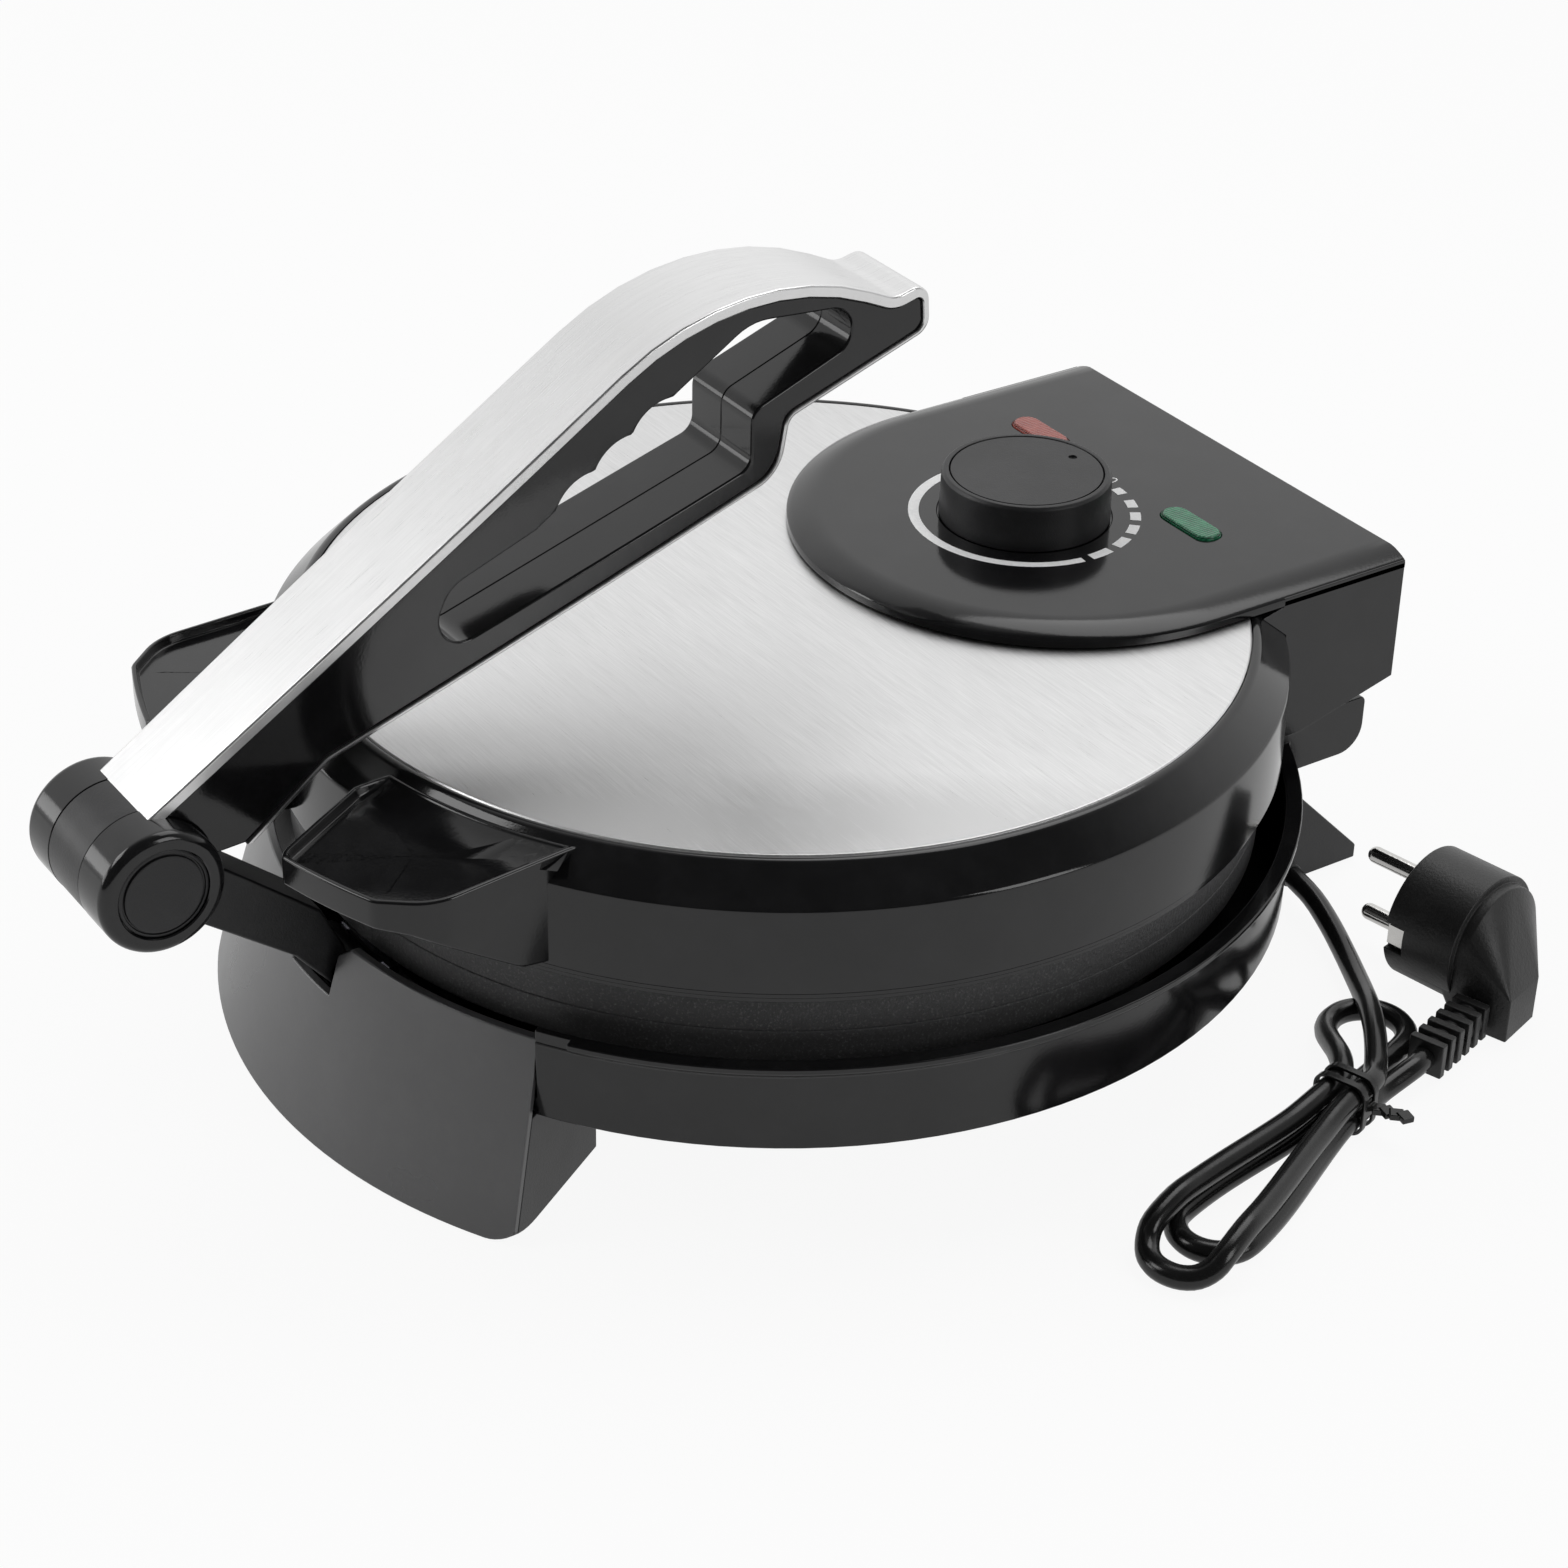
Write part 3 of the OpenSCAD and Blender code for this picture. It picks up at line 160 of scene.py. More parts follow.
def moulded(name, colour, rough, spread, grain, depth, level=0.5, scuff=None):
    """Moulded plastic: fine mould texture, slow waves in the surface, faint handling marks."""
    made = Shader(name, colour, rough, Specular_IOR_Level=level)
    handling = made.noise(14, 4, rough=0.6)
    made.rough(made.spread(handling, rough - spread, rough + spread))
    lighter = scuff or tuple(c * 1.9 + 0.002 for c in colour)
    scuffs = made.spread(made.noise(60, 6, rough=0.7), 0, 1, 0.45, 0.8)
    made.colour(made.mix(scuffs, colour, lighter))
    fine = made.noise(grain, 3)
    slow = made.noise(9, 1)
    made.bump(made.add(fine, made.add(slow, 2.2, "MULTIPLY")), depth)
    return made.material


# the way across the disc along which a painted shadow darkens its colour
SHADOW_WAY = (0.8268, -0.5625, 0)


def brushed(name, low, high, rough, across, turn, depth, shadow=False):
    """Brushed steel: fine lines, slower streaks, soft cloudy marks.

    shadow paints shade into the colour: a darker cloud along SHADOW_WAY, where the disc mirrors its
    front, a painted reflection.
    """
    made = Shader(name, None, rough, Metallic=1.0)
    lines = made.noise(1, 4, made.place(across, turn), 0.7)
    streaks = made.noise(1, 2, made.place(tuple(a * 0.3 for a in across), turn))
    clouds = made.noise(7, 3, rough=0.6)
    tone = made.add(made.spread(lines, 0, 0.55, 0.3, 0.7), made.spread(streaks, 0, 0.15))
    tone = made.add(tone, made.spread(clouds, 0, 0.3))
    if shadow:
        # painted shade: a darker cloud painted into the colour along SHADOW_WAY, a painted
        # reflection of the disc's dark front
        along = made.node("VectorMath", operation="DOT_PRODUCT")
        made.feed(along.inputs[0], made.add_vector(made.place(), made.noise(16, 2), 0.03))
        along.inputs[1].default_value = SHADOW_WAY
        front = along.outputs["Value"]
        cloud = made.add(made.spread(front, 0, 1, 0.075, 0.1),
                         made.spread(front, 1, 0.25, 0.105, 0.14), "MULTIPLY")
        cloud = made.add(cloud, made.spread(made.noise(11, 3), 0.35, 1), "MULTIPLY")
        tone = made.add(tone, made.add(cloud, 1.15, "MULTIPLY"), "SUBTRACT")
    made.colour(made.mix(tone, low, high))
    made.rough(made.add(made.spread(lines, rough - 0.07, rough + 0.07, 0.25, 0.75),
                        made.spread(clouds, -0.03, 0.03)))
    made.bump(made.add(lines, made.add(streaks, 0.5, "MULTIPLY")), depth)
    return made.material


# ---- materials -----------------------------------------------------------------------------

def cast_coating():
    made = Shader("coated_plate", None, 0.5, Specular_IOR_Level=0.45)
    speckle = made.spread(made.noise(1500, 2, rough=0.6), 0, 1, 0.55, 0.75)
    cloud = made.noise(35, 4, rough=0.65)
    made.colour(made.mix(made.add(speckle, made.spread(cloud, 0.1, 0.6), "MULTIPLY"),
                         (0.06, 0.06, 0.061), (0.26, 0.26, 0.265)))
    made.rough(made.spread(cloud, 0.42, 0.62))
    made.bump(made.add(made.noise(900, 4, rough=0.7), made.add(cloud, 0.4, "MULTIPLY")), 0.0004)
    return made.material


def plated(name, colour, rough, cloud_scale=40):
    made = Shader(name, None, rough, Metallic=1.0)
    cloud = made.noise(cloud_scale, 4, rough=0.65)
    made.colour(made.mix(made.spread(cloud, 0, 1), tuple(c * 0.8 for c in colour), colour))
    made.rough(made.spread(cloud, rough * 0.7, rough * 1.35))
    made.bump(made.noise(700, 2), 0.00003)
    return made.material


def heater_sheath():
    made = Shader("heater_steel", None, 0.5, Metallic=0.8)
    heat = made.noise(22, 4, rough=0.6)
    made.colour(made.mix(made.spread(heat, 0, 1), (0.16, 0.13, 0.11), (0.42, 0.4, 0.38)))
    made.rough(made.spread(heat, 0.4, 0.65))
    made.bump(made.noise(400, 3), 0.0001)
    return made.material


def ceramic():
    made = Shader("ceramic", None, 0.7)
    made.colour(made.mix(made.noise(80, 4), (0.66, 0.62, 0.55), (0.8, 0.77, 0.7)))
    made.bump(made.noise(500, 3), 0.00012)
    return made.material


def soft_black(name, colour, rough, grain, depth, sheen):
    made = Shader(name, None, rough, Sheen_Weight=sheen, Sheen_Roughness=0.5)
    dust = made.noise(45, 5, rough=0.7)
    lighter = tuple(c * 2.4 for c in colour)
    made.colour(made.mix(made.spread(dust, 0, 1, 0.5, 0.85), colour, lighter))
    made.rough(made.spread(dust, rough - 0.06, rough + 0.08))
    made.bump(made.noise(grain, 3, rough=0.6), depth)
    return made.material


def lens(name, deep, pale):
    made = Shader(name, None, 0.16, IOR=1.5, Transmission_Weight=0.35)
    ribs = made.node("TexWave", Scale=330, Distortion=0.0, Detail=0.0, bands_direction="X",
                     Vector=made.place())
    frost = made.noise(260, 3)
    made.colour(made.mix(made.add(made.spread(ribs.outputs["Fac"], 0, 0.55, 0, 1),
                                  made.spread(frost, 0, 0.35)), deep, pale))
    made.rough(made.spread(frost, 0.1, 0.24))
    made.bump(made.add(ribs.outputs["Fac"], frost), 0.00006)
    return made.material


def dial_paint():
    made = Shader("dial_paint", None, 0.45)
    wear = made.noise(900, 4, rough=0.7)
    made.colour(made.mix(made.spread(wear, 0, 1, 0.3, 0.62),
                         (0.86, 0.87, 0.87), (0.97, 0.97, 0.97)))
    made.bump(wear, 0.00002)
    return made.material


LOOKS = {
    "gloss_black": moulded("gloss_black", (0.007, 0.007, 0.0075), 0.11, 0.03, 1400, 0.000012, 0.5),
    "satin_black": moulded("satin_black", (0.013, 0.013, 0.014), 0.34, 0.06, 1800, 0.00005, 0.45),
    "apron_grey": moulded("apron_grey", (0.065, 0.065, 0.067), 0.3, 0.04, 2200, 0.00002, 1.0,
                          (0.08, 0.08, 0.082)),
    "rubber": soft_black("rubber", (0.014, 0.014, 0.014), 0.7, 700, 0.0002, 0.3),
    "zinc": plated("zinc", (0.5, 0.5, 0.53), 0.32),
    "coated_plate": cast_coating(),
    "heater_steel": heater_sheath(),
    "bright_sheet": plated("bright_sheet", (0.62, 0.62, 0.64), 0.3, 12),
    "ceramic": ceramic(),
    "cord_black": soft_black("cord_black", (0.006, 0.006, 0.006), 0.2, 1500, 0.00002, 0.05),
    "plug_black": soft_black("plug_black", (0.011, 0.011, 0.011), 0.42, 1100, 0.0001, 0.15),
    "nickel": plated("nickel", (0.72, 0.71, 0.69), 0.16, 60),
    # the disc's steel carries a painted shadow cloud in its colour
    "brushed_steel": brushed("brushed_steel", (0.6, 0.6, 0.6), (0.83, 0.83, 0.83), 0.34,
                             (90, 3600, 300), 0, 0.00002, True),
    "handle_steel": brushed("handle_steel", (0.7, 0.7, 0.7), (0.84, 0.84, 0.84), 0.33,
                            (3600, 70, 70), 0, 0.000015),
    "lamp_glass": moulded("lamp_glass", (0.8, 0.5, 0.36), 0.15, 0.04, 500, 0.00002),
    "red_lens": lens("red_lens", (0.3, 0.03, 0.022), (0.75, 0.2, 0.15)),
    "green_lens": lens("green_lens", (0.005, 0.13, 0.055), (0.06, 0.5, 0.24)),
    "knob_black": moulded("knob_black", (0.011, 0.011, 0.012), 0.42, 0.05, 2400, 0.00006, 0.45),
}
DIAL_PAINT = dial_paint()

SLOT_NODES = {
    "gloss_black": "base_shell lid_ring lift_tab_left lift_tab_right rear_housing control_panel "
                   "handle_left_half handle_right_half",
    "satin_black": "front_foot rear_foot bottom_cover link_arm pivot_cap_left pivot_cap_right",
    "apron_grey": "front_apron",
    "rubber": "rubber_feet",
    "zinc": "base_screws hinge_pins link_bracket link_pin lid_screws handle_screws pivot_pin "
            "control_shaft",
    "coated_plate": "lower_plate upper_plate",
    "heater_steel": "lower_heater upper_heater",
    "bright_sheet": "lower_reflector upper_reflector",
    "ceramic": "terminal_block thermostat",
    "cord_black": "cord_lead cord_hank plug_lead cord_tie",
    "plug_black": "cord_grip plug_relief plug_body",
    "nickel": "plug_pins plug_earth_clips",
    "brushed_steel": "steel_disc",
    "handle_steel": "handle_band",
    "lamp_glass": "neon_lamps",
    "red_lens": "red_lens",
    "green_lens": "green_lens",
    "knob_black": "knob knob_cap",
}
SLOT_OF = {node: slot for slot, names in SLOT_NODES.items() for node in names.split()}
BODY_OF = {node: body for body, names in RECORD["behaviour"]["bodies"].items() for node in names}

for name, cad in NODES.items():
    cad.data.materials.clear()
    cad.data.materials.append(LOOKS[SLOT_OF[name]])


# ---- piece helpers -------------------------------------------------------------------------

def settle(obj, nodes, slot=None, look=None, body=None):
    """Gives a new piece its material and its body, and hides the CAD nodes that it stands for."""
    nodes = nodes.split() if isinstance(nodes, str) else nodes
    if obj.name not in scene.collection.objects:
        scene.collection.objects.link(obj)
    slot = slot or SLOT_OF[nodes[0]]
    obj.data.materials.clear()
    obj.data.materials.append(look or LOOKS[slot])
    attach(obj, body or BODY_OF[nodes[0]])
    if nodes:
        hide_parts(*nodes)
    return obj


def shade(mesh, sharp_deg=32):
    """Smooth faces with sharp edges where the surface turns by more than sharp_deg."""
    work = bmesh.new()
    work.from_mesh(mesh)
    limit = math.radians(sharp_deg)
    for face in work.faces:
        face.smooth = True
    for edge in work.edges:
        edge.smooth = len(edge.link_faces) == 2 and edge.calc_face_angle(0) < limit
    work.to_mesh(mesh)
    work.free()


def dress(node, width=0.4, segments=2, angle=30):
    """A copy of a CAD node with its flat faces joined and its sharp edges softened."""
    mesh = NODES[node].data.copy()
    mesh.name = node + "_skin"
    if "custom_normal" in mesh.attributes:
        mesh.attributes.remove(mesh.attributes["custom_normal"])
    work = bmesh.new()
    work.from_mesh(mesh)
    bmesh.ops.remove_doubles(work, verts=work.verts, dist=3e-6)
    bmesh.ops.dissolve_limit(work, angle_limit=math.radians(0.4), verts=work.verts,
                             edges=work.edges, use_dissolve_boundaries=False)
    work.to_mesh(mesh)
    work.free()
    shade(mesh, angle)
    obj = bpy.data.objects.new(node + "_skin", mesh)
    scene.collection.objects.link(obj)
    if width:
        soften = obj.modifiers.new("edges", "BEVEL")
        soften.width, soften.segments = width * MM, segments
        soften.limit_method, soften.angle_limit = "ANGLE", math.radians(angle)
        soften.use_clamp_overlap = False
        soften.harden_normals = True
    return settle(obj, node)


# ---- meshes drawn here -------------------------------------------------------------------------

def rounded(points, step=7.5):
    """The (x, y) outline of (x, y, corner radius) points."""
    line = []
    for i, (x, y, r) in enumerate(points):
        b = Vector((x, y))
        if not r:
            line.append(b)
            continue
        p = (Vector(points[i - 1][:2]) - b).normalized()
        q = (Vector(points[(i + 1) % len(points)][:2]) - b).normalized()
        half = p.angle(q) / 2
        middle = b + (p + q).normalized() * r / math.sin(half)
        start = b + p * r / math.tan(half) - middle
        turn = math.copysign(math.pi - 2 * half, -p.cross(q))
        count = max(2, math.ceil(abs(math.degrees(turn)) / step - 0.01))
        for k in range(count + 1):
            cos, sin = math.cos(turn * k / count), math.sin(turn * k / count)
            line.append(middle + Vector((start.x * cos - start.y * sin,
                                         start.x * sin + start.y * cos)))
    return line


def inset(points, depths):
    """A counter-clockwise outline moved inwards by depths[i] along the edge after point i."""
    moved = []
    for i, (x, y, r) in enumerate(points):
        a, b, c = (Vector(points[j % len(points)][:2]) for j in (i - 1, i, i + 1))
        p, q = (b - a).normalized(), (c - b).normalized()
        s = b + Vector((-p.y, p.x)) * depths[i - 1]
        gap = b + Vector((-q.y, q.x)) * depths[i] - s
        at = s + p * (gap.cross(q) / p.cross(q))
        d = (depths[i - 1] + depths[i]) / 2
        moved.append((at.x, at.y, 0 if not r else max(0.5, r - d) if p.cross(q) > 0 else r + d))
    return moved


def shifted(line, d):
    """A closed line moved to its left by d."""
    moved = []
    for i, b in enumerate(line):
        p, q = (b - line[i - 1]).normalized(), (line[(i + 1) % len(line)] - b).normalized()
        side = Vector((-p.y - q.y, p.x + q.x)).normalized()
        moved.append(b + side * d / max(0.4, side.dot(Vector((-p.y, p.x)))))
    return moved


def finer(line, length):
    """A closed line with no stretch longer than length."""
    fine = []
    for a, b in zip(line, line[1:] + line[:1]):
        count = max(1, math.ceil((b - a).length / length))
        fine += [a.lerp(b, i / count) for i in range(count)]
    return fine


def fillet(e, steps=4):
    """(outwards, inwards) pairs of a quarter round: from the wall's end to the face's start."""
    return [(e * math.sin(math.pi / 2 * i / steps), e * (1 - math.cos(math.pi / 2 * i / steps)))
            for i in range(steps + 1)]


class Build:
    """A mesh drawn as loops of points, in millimetres."""

    def __init__(self):
        self.work = bmesh.new()

    def loop(self, points):
        """A vertex at each point."""
        return [self.work.verts.new(Vector(point) * MM) for point in points]

    def bridge(self, a, b, closed=True):
        """Faces between two loops of as many vertices."""
        for i in range(len(a) - (not closed)):
            j = (i + 1) % len(a)
            if len({a[i], a[j], b[j], b[i]}) == 4:
                self.work.faces.new((a[i], a[j], b[j], b[i]))

    def skin(self, rows, closed=True):
        """Faces between rows of points; returns the first and the last row."""
        loops = [self.loop(row) for row in rows]
        for a, b in zip(loops, loops[1:]):
            self.bridge(a, b, closed)
        return loops[0], loops[-1]

    def fill(self, *loops):
        """A face inside the first loop that leaves the others open."""
        edges = []
        for loop in loops:
            for a, b in zip(loop, loop[1:] + loop[:1]):
                edges.append(self.work.edges.get((a, b)) or self.work.edges.new((a, b)))
        bmesh.ops.triangle_fill(self.work, use_beauty=True, use_dissolve=False, edges=edges)

    def revolve(self, profile, place, first=0, last=360, steps=120):
        """profile is a closed line of (r, h) points; place(r, angle, h) gives the point."""
        full = last - first == 360
        angles = [math.radians(first + (last - first) * i / steps)
                  for i in range(steps + (not full))]
        rows = [self.loop([place(r, a, h) for r, h in profile]) for a in angles]
        for a, b in zip(rows, rows[1:] + (rows[:1] if full else [])):
            self.bridge(a, b)
        if not full:
            self.fill(rows[0])
            self.fill(rows[-1])

    def move(self, how):
        """Sends each vertex through how, which takes and gives millimetres."""
        for vert in self.work.verts:
            vert.co = how(vert.co / MM) * MM

    def piece(self, name, nodes, slot=None, sharp=34, body=None):
        """Ends the mesh and settles it as a piece; edges over sharp degrees stay sharp."""
        bmesh.ops.remove_doubles(self.work, verts=self.work.verts, dist=1e-7)
        bmesh.ops.recalc_face_normals(self.work, faces=self.work.faces)
        mesh = bpy.data.meshes.new(name)
        self.work.to_mesh(mesh)
        self.work.free()
        shade(mesh, sharp)
        obj = bpy.data.objects.new(name, mesh)
        obj.modifiers.new("flat_faces_first", "WEIGHTED_NORMAL").keep_sharp = True
        return settle(obj, nodes, slot, body=body)


def upright(r, a, h):
    """The point at radius r, angle a from the rear and height h, round the plates' middle."""
    return Vector((r * math.sin(a), r * math.cos(a) + PLATE_Y, h))


# ---- handle and link ---------------------------------------------------------------------------

# Outlines are (y, z, corner radius) from the pivot; BAND_T is the band's thickness on each edge
PIVOT = Vector((0, -191.7 + PLATE_Y, 93.3))
HANDLE_L, HANDLE_HALF, SIDE_INSET, SWELL = 228.3, 14, 0.8, 1.8
BARREL_R, BARREL_HALF, KNUCKLE_HALF = 16.7, 22.2, 8.6
BAND_OUTLINE = [(0, 0, 0), (28, 2, 0), (49, 18.5, 6), (181.5, 63.1, 12), (184.2, 78.3, 4),
                (228.3, 92.9, 5), (227.3, 106.6, 4.5), (217, 104, 7), (169.7, 125.9, 78),
                (0.5, 16.6, 0)]
BAND_T = [0, 1.2, 1.2, 1.2, 1.2, 2, 3.2, 3.2, 3.2, 0]
OPENING = [(75.5, 36.8, 7), (172.8, 67, 5), (172.8, 82.5, 5), (208, 95.7, 6.5), (200, 104.9, 7),
           (172.5, 107.4, 16), (151, 93.9, 4), (109, 66.2, 4), (84.5, 56.8, 10)]
SCALLOP_R, SCALLOP_RISE, SCALLOP_PITCH = 12, 2.4, 13.2
SCALLOP_FIRST = Vector((143, 88.6))
SCREWS = [(64, 39), (177.2, 73), (214, 97)]
SCREW_WELL_R, SCREW_WELL_X = 3.4, 8
LINK_TILT, LINK_HALF, LINK_PIN, EYE_R = 36.7, 8, Vector((-136 + PLATE_Y, 43.5)), 6
BEND_STEPS = 25


def on_handle(x, p):
    """The point p of the handle's side view, x from its middle."""
    return PIVOT + Vector((x, p.x, p.y))


def around_pivot(side=1, centre=Vector((0, 0))):
    """A place for revolve, round an axis along x through the pivot, or centre away from it."""
    def place(r, a, h):
        return on_handle(side * h, centre + Vector((r * math.cos(a), r * math.sin(a))))
    return place


def swelling(co):
    """The handle is widest half way along, beside the finger opening."""
    y = min(1, max(0, (co.y - PIVOT.y) / HANDLE_L))
    grow = SWELL * math.sin(math.pi * y)
    return co + Vector((math.copysign(grow, co.x) if abs(co.x) > 2 else 0, 0, 0))


def black_edge():
    """Outline of the black halves; near the pivot it follows the barrel."""
    radius = BARREL_R - 0.02
    line = rounded(inset(BAND_OUTLINE, BAND_T))
    out = [p for p in line if p.length > radius]
    inner_start, inner_end = line[0], line[-1]

    def crossing(near, far):
        a, b = 0.0, 1.0
        for _ in range(30):
            m = (a + b) / 2
            a, b = (m, b) if near.lerp(far, m).length < radius else (a, m)
        return near.lerp(far, b)

    start, end = crossing(inner_start, out[0]), crossing(inner_end, out[-1])
    a, b = (math.atan2(p.y, p.x) for p in (end, start))
    arc = [Vector((radius * math.cos(t), radius * math.sin(t)))
           for t in (a + (b - a) * i / 10 for i in range(11))]
    return finer(out + arc, 6)


def finger_edge():
    """The finger opening, with the scallops along its upper edge."""
    line, fine = rounded(OPENING), []
    along = Vector((-0.835, -0.551)).normalized()
    up = Vector((along.y, -along.x))
    for a, b in zip(line, line[1:] + line[:1]):
        on_upper_edge = (b - a).normalized().dot(along) > 0.9999 and (b - a).length > 30
        if not on_upper_edge:
            fine.append(a)
            continue
        count = 48
        for i in range(count):
            p = a.lerp(b, i / count)
            s = (p - SCALLOP_FIRST).dot(along)
            rise = 0.0
            for k in range(3):
                off = abs(s - k * SCALLOP_PITCH)
                if off < SCALLOP_R:
                    arc = math.sqrt(SCALLOP_R ** 2 - off ** 2) - SCALLOP_R
                    rise = max(rise, arc + SCALLOP_RISE)
            fine.append(p + up * rise)
    return finer(fine, 6)


def handle_half(side):
    name = "handle_right_half" if side > 0 else "handle_left_half"
    made = Build()
    half = HANDLE_HALF - SIDE_INSET
    edge = [(0, 0.3), (0.3, 0)] + [(half - 0.7 + out, back) for out, back in fillet(0.7)]
    tops, bottoms = [], []
    for line, way in ((black_edge(), 1), (finger_edge(), -1)):
        rows = [[on_handle(side * x, p) for p in shifted(line, way * d)] for x, d in edge]
        bottom, top = made.skin(rows)
        bottoms.append(bottom)
        tops.append(top)
    if side < 0:
        for y, z in SCREWS:
            ring = [Vector((y, z)) + SCREW_WELL_R * Vector((math.cos(a), math.sin(a)))
                    for a in (math.radians(15 * i) for i in range(24))]
            top, low = made.skin([[on_handle(side * x, p) for p in ring]
                                  for x in (half, SCREW_WELL_X)])
            tops.append(top)
            made.fill(low)
    made.fill(*tops)
    made.fill(*bottoms)
    # the flat sides are cut across, so that they can bend
    for i in range(1, BEND_STEPS):
        parts = made.work.verts[:] + made.work.edges[:] + made.work.faces[:]
        bmesh.ops.bisect_plane(made.work, geom=parts, plane_no=(0, 1, 0),
                               plane_co=(PIVOT + Vector((0, i * HANDLE_L / BEND_STEPS, 0))) * MM)
    made.move(swelling)
    low, high = KNUCKLE_HALF + 0.2, BARREL_HALF
    profile = [(0, low), (BARREL_R - 0.15, low), (BARREL_R, low + 0.15), (BARREL_R, high - 2.6)]
    profile += [(BARREL_R - back, high - 2.6 + out) for out, back in fillet(2.6, 6)[1:]]
    profile += [(12.4, high), (12.1, high - 0.3), (12.1, high - 2), (0, high - 2)]
    made.revolve(profile, around_pivot(side))
    return made.piece(name + "_body", name, sharp=40)


def handle_band():
    made = Build()
    outer, inner = rounded(BAND_OUTLINE), rounded(inset(BAND_OUTLINE, BAND_T))
    pairs = list(zip(outer, inner))[1:]
    fine = [pairs[0]]
    for (a, b), (c, d) in zip(pairs, pairs[1:]):
        count = max(1, math.ceil((c - a).length / 9))
        fine += [(a.lerp(c, i / count), b.lerp(d, i / count)) for i in range(1, count + 1)]
    rows = []
    for out, back in fine:
        thick = (back - out).length
        way = (back - out) / thick
        e, f = min(0.7, 0.45 * thick), 0.25
        half = HANDLE_HALF
        ring = [(half - e + o, b) for o, b in fillet(e)] + [(half, thick - f), (half - f, thick)]
        ring += [(-x, t) for x, t in reversed(ring)]
        rows.append([on_handle(x, out + way * t) for x, t in ring])
    first, last = made.skin(rows)
    made.fill(first)
    made.fill(last)
    made.move(swelling)
    return made.piece("handle_band_strip", "handle_band", sharp=40)


def pivot_cap(side):
    name = "pivot_cap_right" if side > 0 else "pivot_cap_left"
    made = Build()
    high = BARREL_HALF
    profile = [(0, high - 2), (11.9, high - 2), (11.9, high - 0.7), (11.5, high - 0.5),
               (11.1, high - 0.5), (10.9, high - 0.9), (10.6, high - 0.9), (10.4, high - 0.25),
               (9.9, high - 0.05), (0, high)]
    made.revolve(profile, around_pivot(side), steps=96)
    return made.piece(name + "_disc", name, sharp=30)


def link_arm():
    """The bar from the pivot's knuckle down to the eye on the base's pin."""
    made = Build()
    tilt = math.radians(LINK_TILT)
    along = Vector((math.cos(tilt), -math.sin(tilt)))
    up = Vector((-along.y, along.x))
    top, end = up * 8.35, along * 56
    eye = LINK_PIN - PIVOT.yz
    corners = [(-top, 0), (end - top, 1.5), (eye + Vector((-4.5, -3.9)), 1), (eye, 0),
               (eye + Vector((-1.5, 8)), 1.5), (eye + Vector((-4.5, 14)), 1.5),
               (end + top * 0.66, 2), (top, 0)]
    line = finer(rounded([(p.x, p.y, r) for p, r in corners]), 8)
    rows = []
    edge = [(LINK_HALF - 0.8 + out, back) for out, back in fillet(0.8, 3)]
    for x, d in [(-x, d) for x, d in reversed(edge)] + edge:
        rows.append([on_handle(x, p) for p in shifted(line, d)])
    first, last = made.skin(rows)
    made.fill(first)
    made.fill(last)
    knuckle = (Vector((0, 0)), BARREL_R - 0.1, KNUCKLE_HALF)
    for centre, r, half in (knuckle, (eye, EYE_R, LINK_HALF)):
        profile = [(0, -half), (r - 0.15, -half), (r, -half + 0.15), (r, half - 0.15),
                   (r - 0.15, half), (0, half)]
        made.revolve(profile, around_pivot(1, centre), steps=96)
    return made.piece("link_bar", "link_arm", sharp=30)


# ---- lid ---------------------------------------------------------------------------------------

LID_Z, KNEE_Z, RING_Z, RING_R = 109, 100, 73, 138
RING_FIRST, RING_LAST = 31, 329  # degrees from the rear; the rest lies inside the housing


def lid_ring():
    made = Build()
    profile = [(121, RING_Z), (136.4, RING_Z), (136.6, RING_Z + 0.2), (136.6, RING_Z + 1.5),
               (136.8, RING_Z + 1.6), (137.15, RING_Z + 1.6), (137.3, RING_Z + 1.8),
               (137.3, RING_Z + 3.1), (137.45, RING_Z + 3.2), (137.8, RING_Z + 3.2),
               (RING_R, RING_Z + 3.5), (RING_R, KNEE_Z - 0.6), (137.8, KNEE_Z + 0.1),
               (137.4, KNEE_Z + 0.6),
               (129.8, LID_Z - 0.8), (129.3, LID_Z - 0.35), (128.6, LID_Z - 0.05), (127.9, LID_Z),
               (127.3, LID_Z - 0.15), (127.2, LID_Z - 0.5), (127.2, LID_Z - 1.1),
               (121, LID_Z - 1.1),
               (121, LID_Z - 4), (126, LID_Z - 4.5), (135, KNEE_Z - 1), (135, RING_Z + 3),
               (121, RING_Z + 3)]
    made.revolve(profile, upright, RING_FIRST, RING_LAST, 180)
    return made.piece("lid_ring_shell", "lid_ring", sharp=24)


TAB_OUTLINE = [(21, -120), (21, -139.3, 2), (36.5, -168.2, 7), (58, -169, 8), (76.4, -147.2, 16),
               (74.6, -107)]
TAB_IN_R, TAB_OUT_R, TAB_Z, TAB_FALL, TAB_FACE = 130.6, 172, 107.3, 2.6, 7.8
TAB_UNDER = [(130, 77), (138, 77), (144, 78), (168, TAB_Z - TAB_FALL - 9),
             (TAB_OUT_R, TAB_Z - TAB_FALL - TAB_FACE)]
TAB_DEPTH = [(130, 0), (132, 0.3), (136, 1.6), (140, 2.4), (144, 2.7), (TAB_OUT_R, 2.5)]
DISH_WALL = [(1.1, 0), (1.3, 0.08), (1.45, 0.3), (1.65, 0.7), (1.8, 0.92), (2.1, 1), (4, 1), (6, 1),
             (8.4, 1)]


def between(x, table):
    """Height at x on a line through (x, height) points."""
    for (a, low), (b, high) in zip(table, table[1:]):
        if x <= b:
            return low + (high - low) * max(0, x - a) / (b - a)
    return table[-1][1]


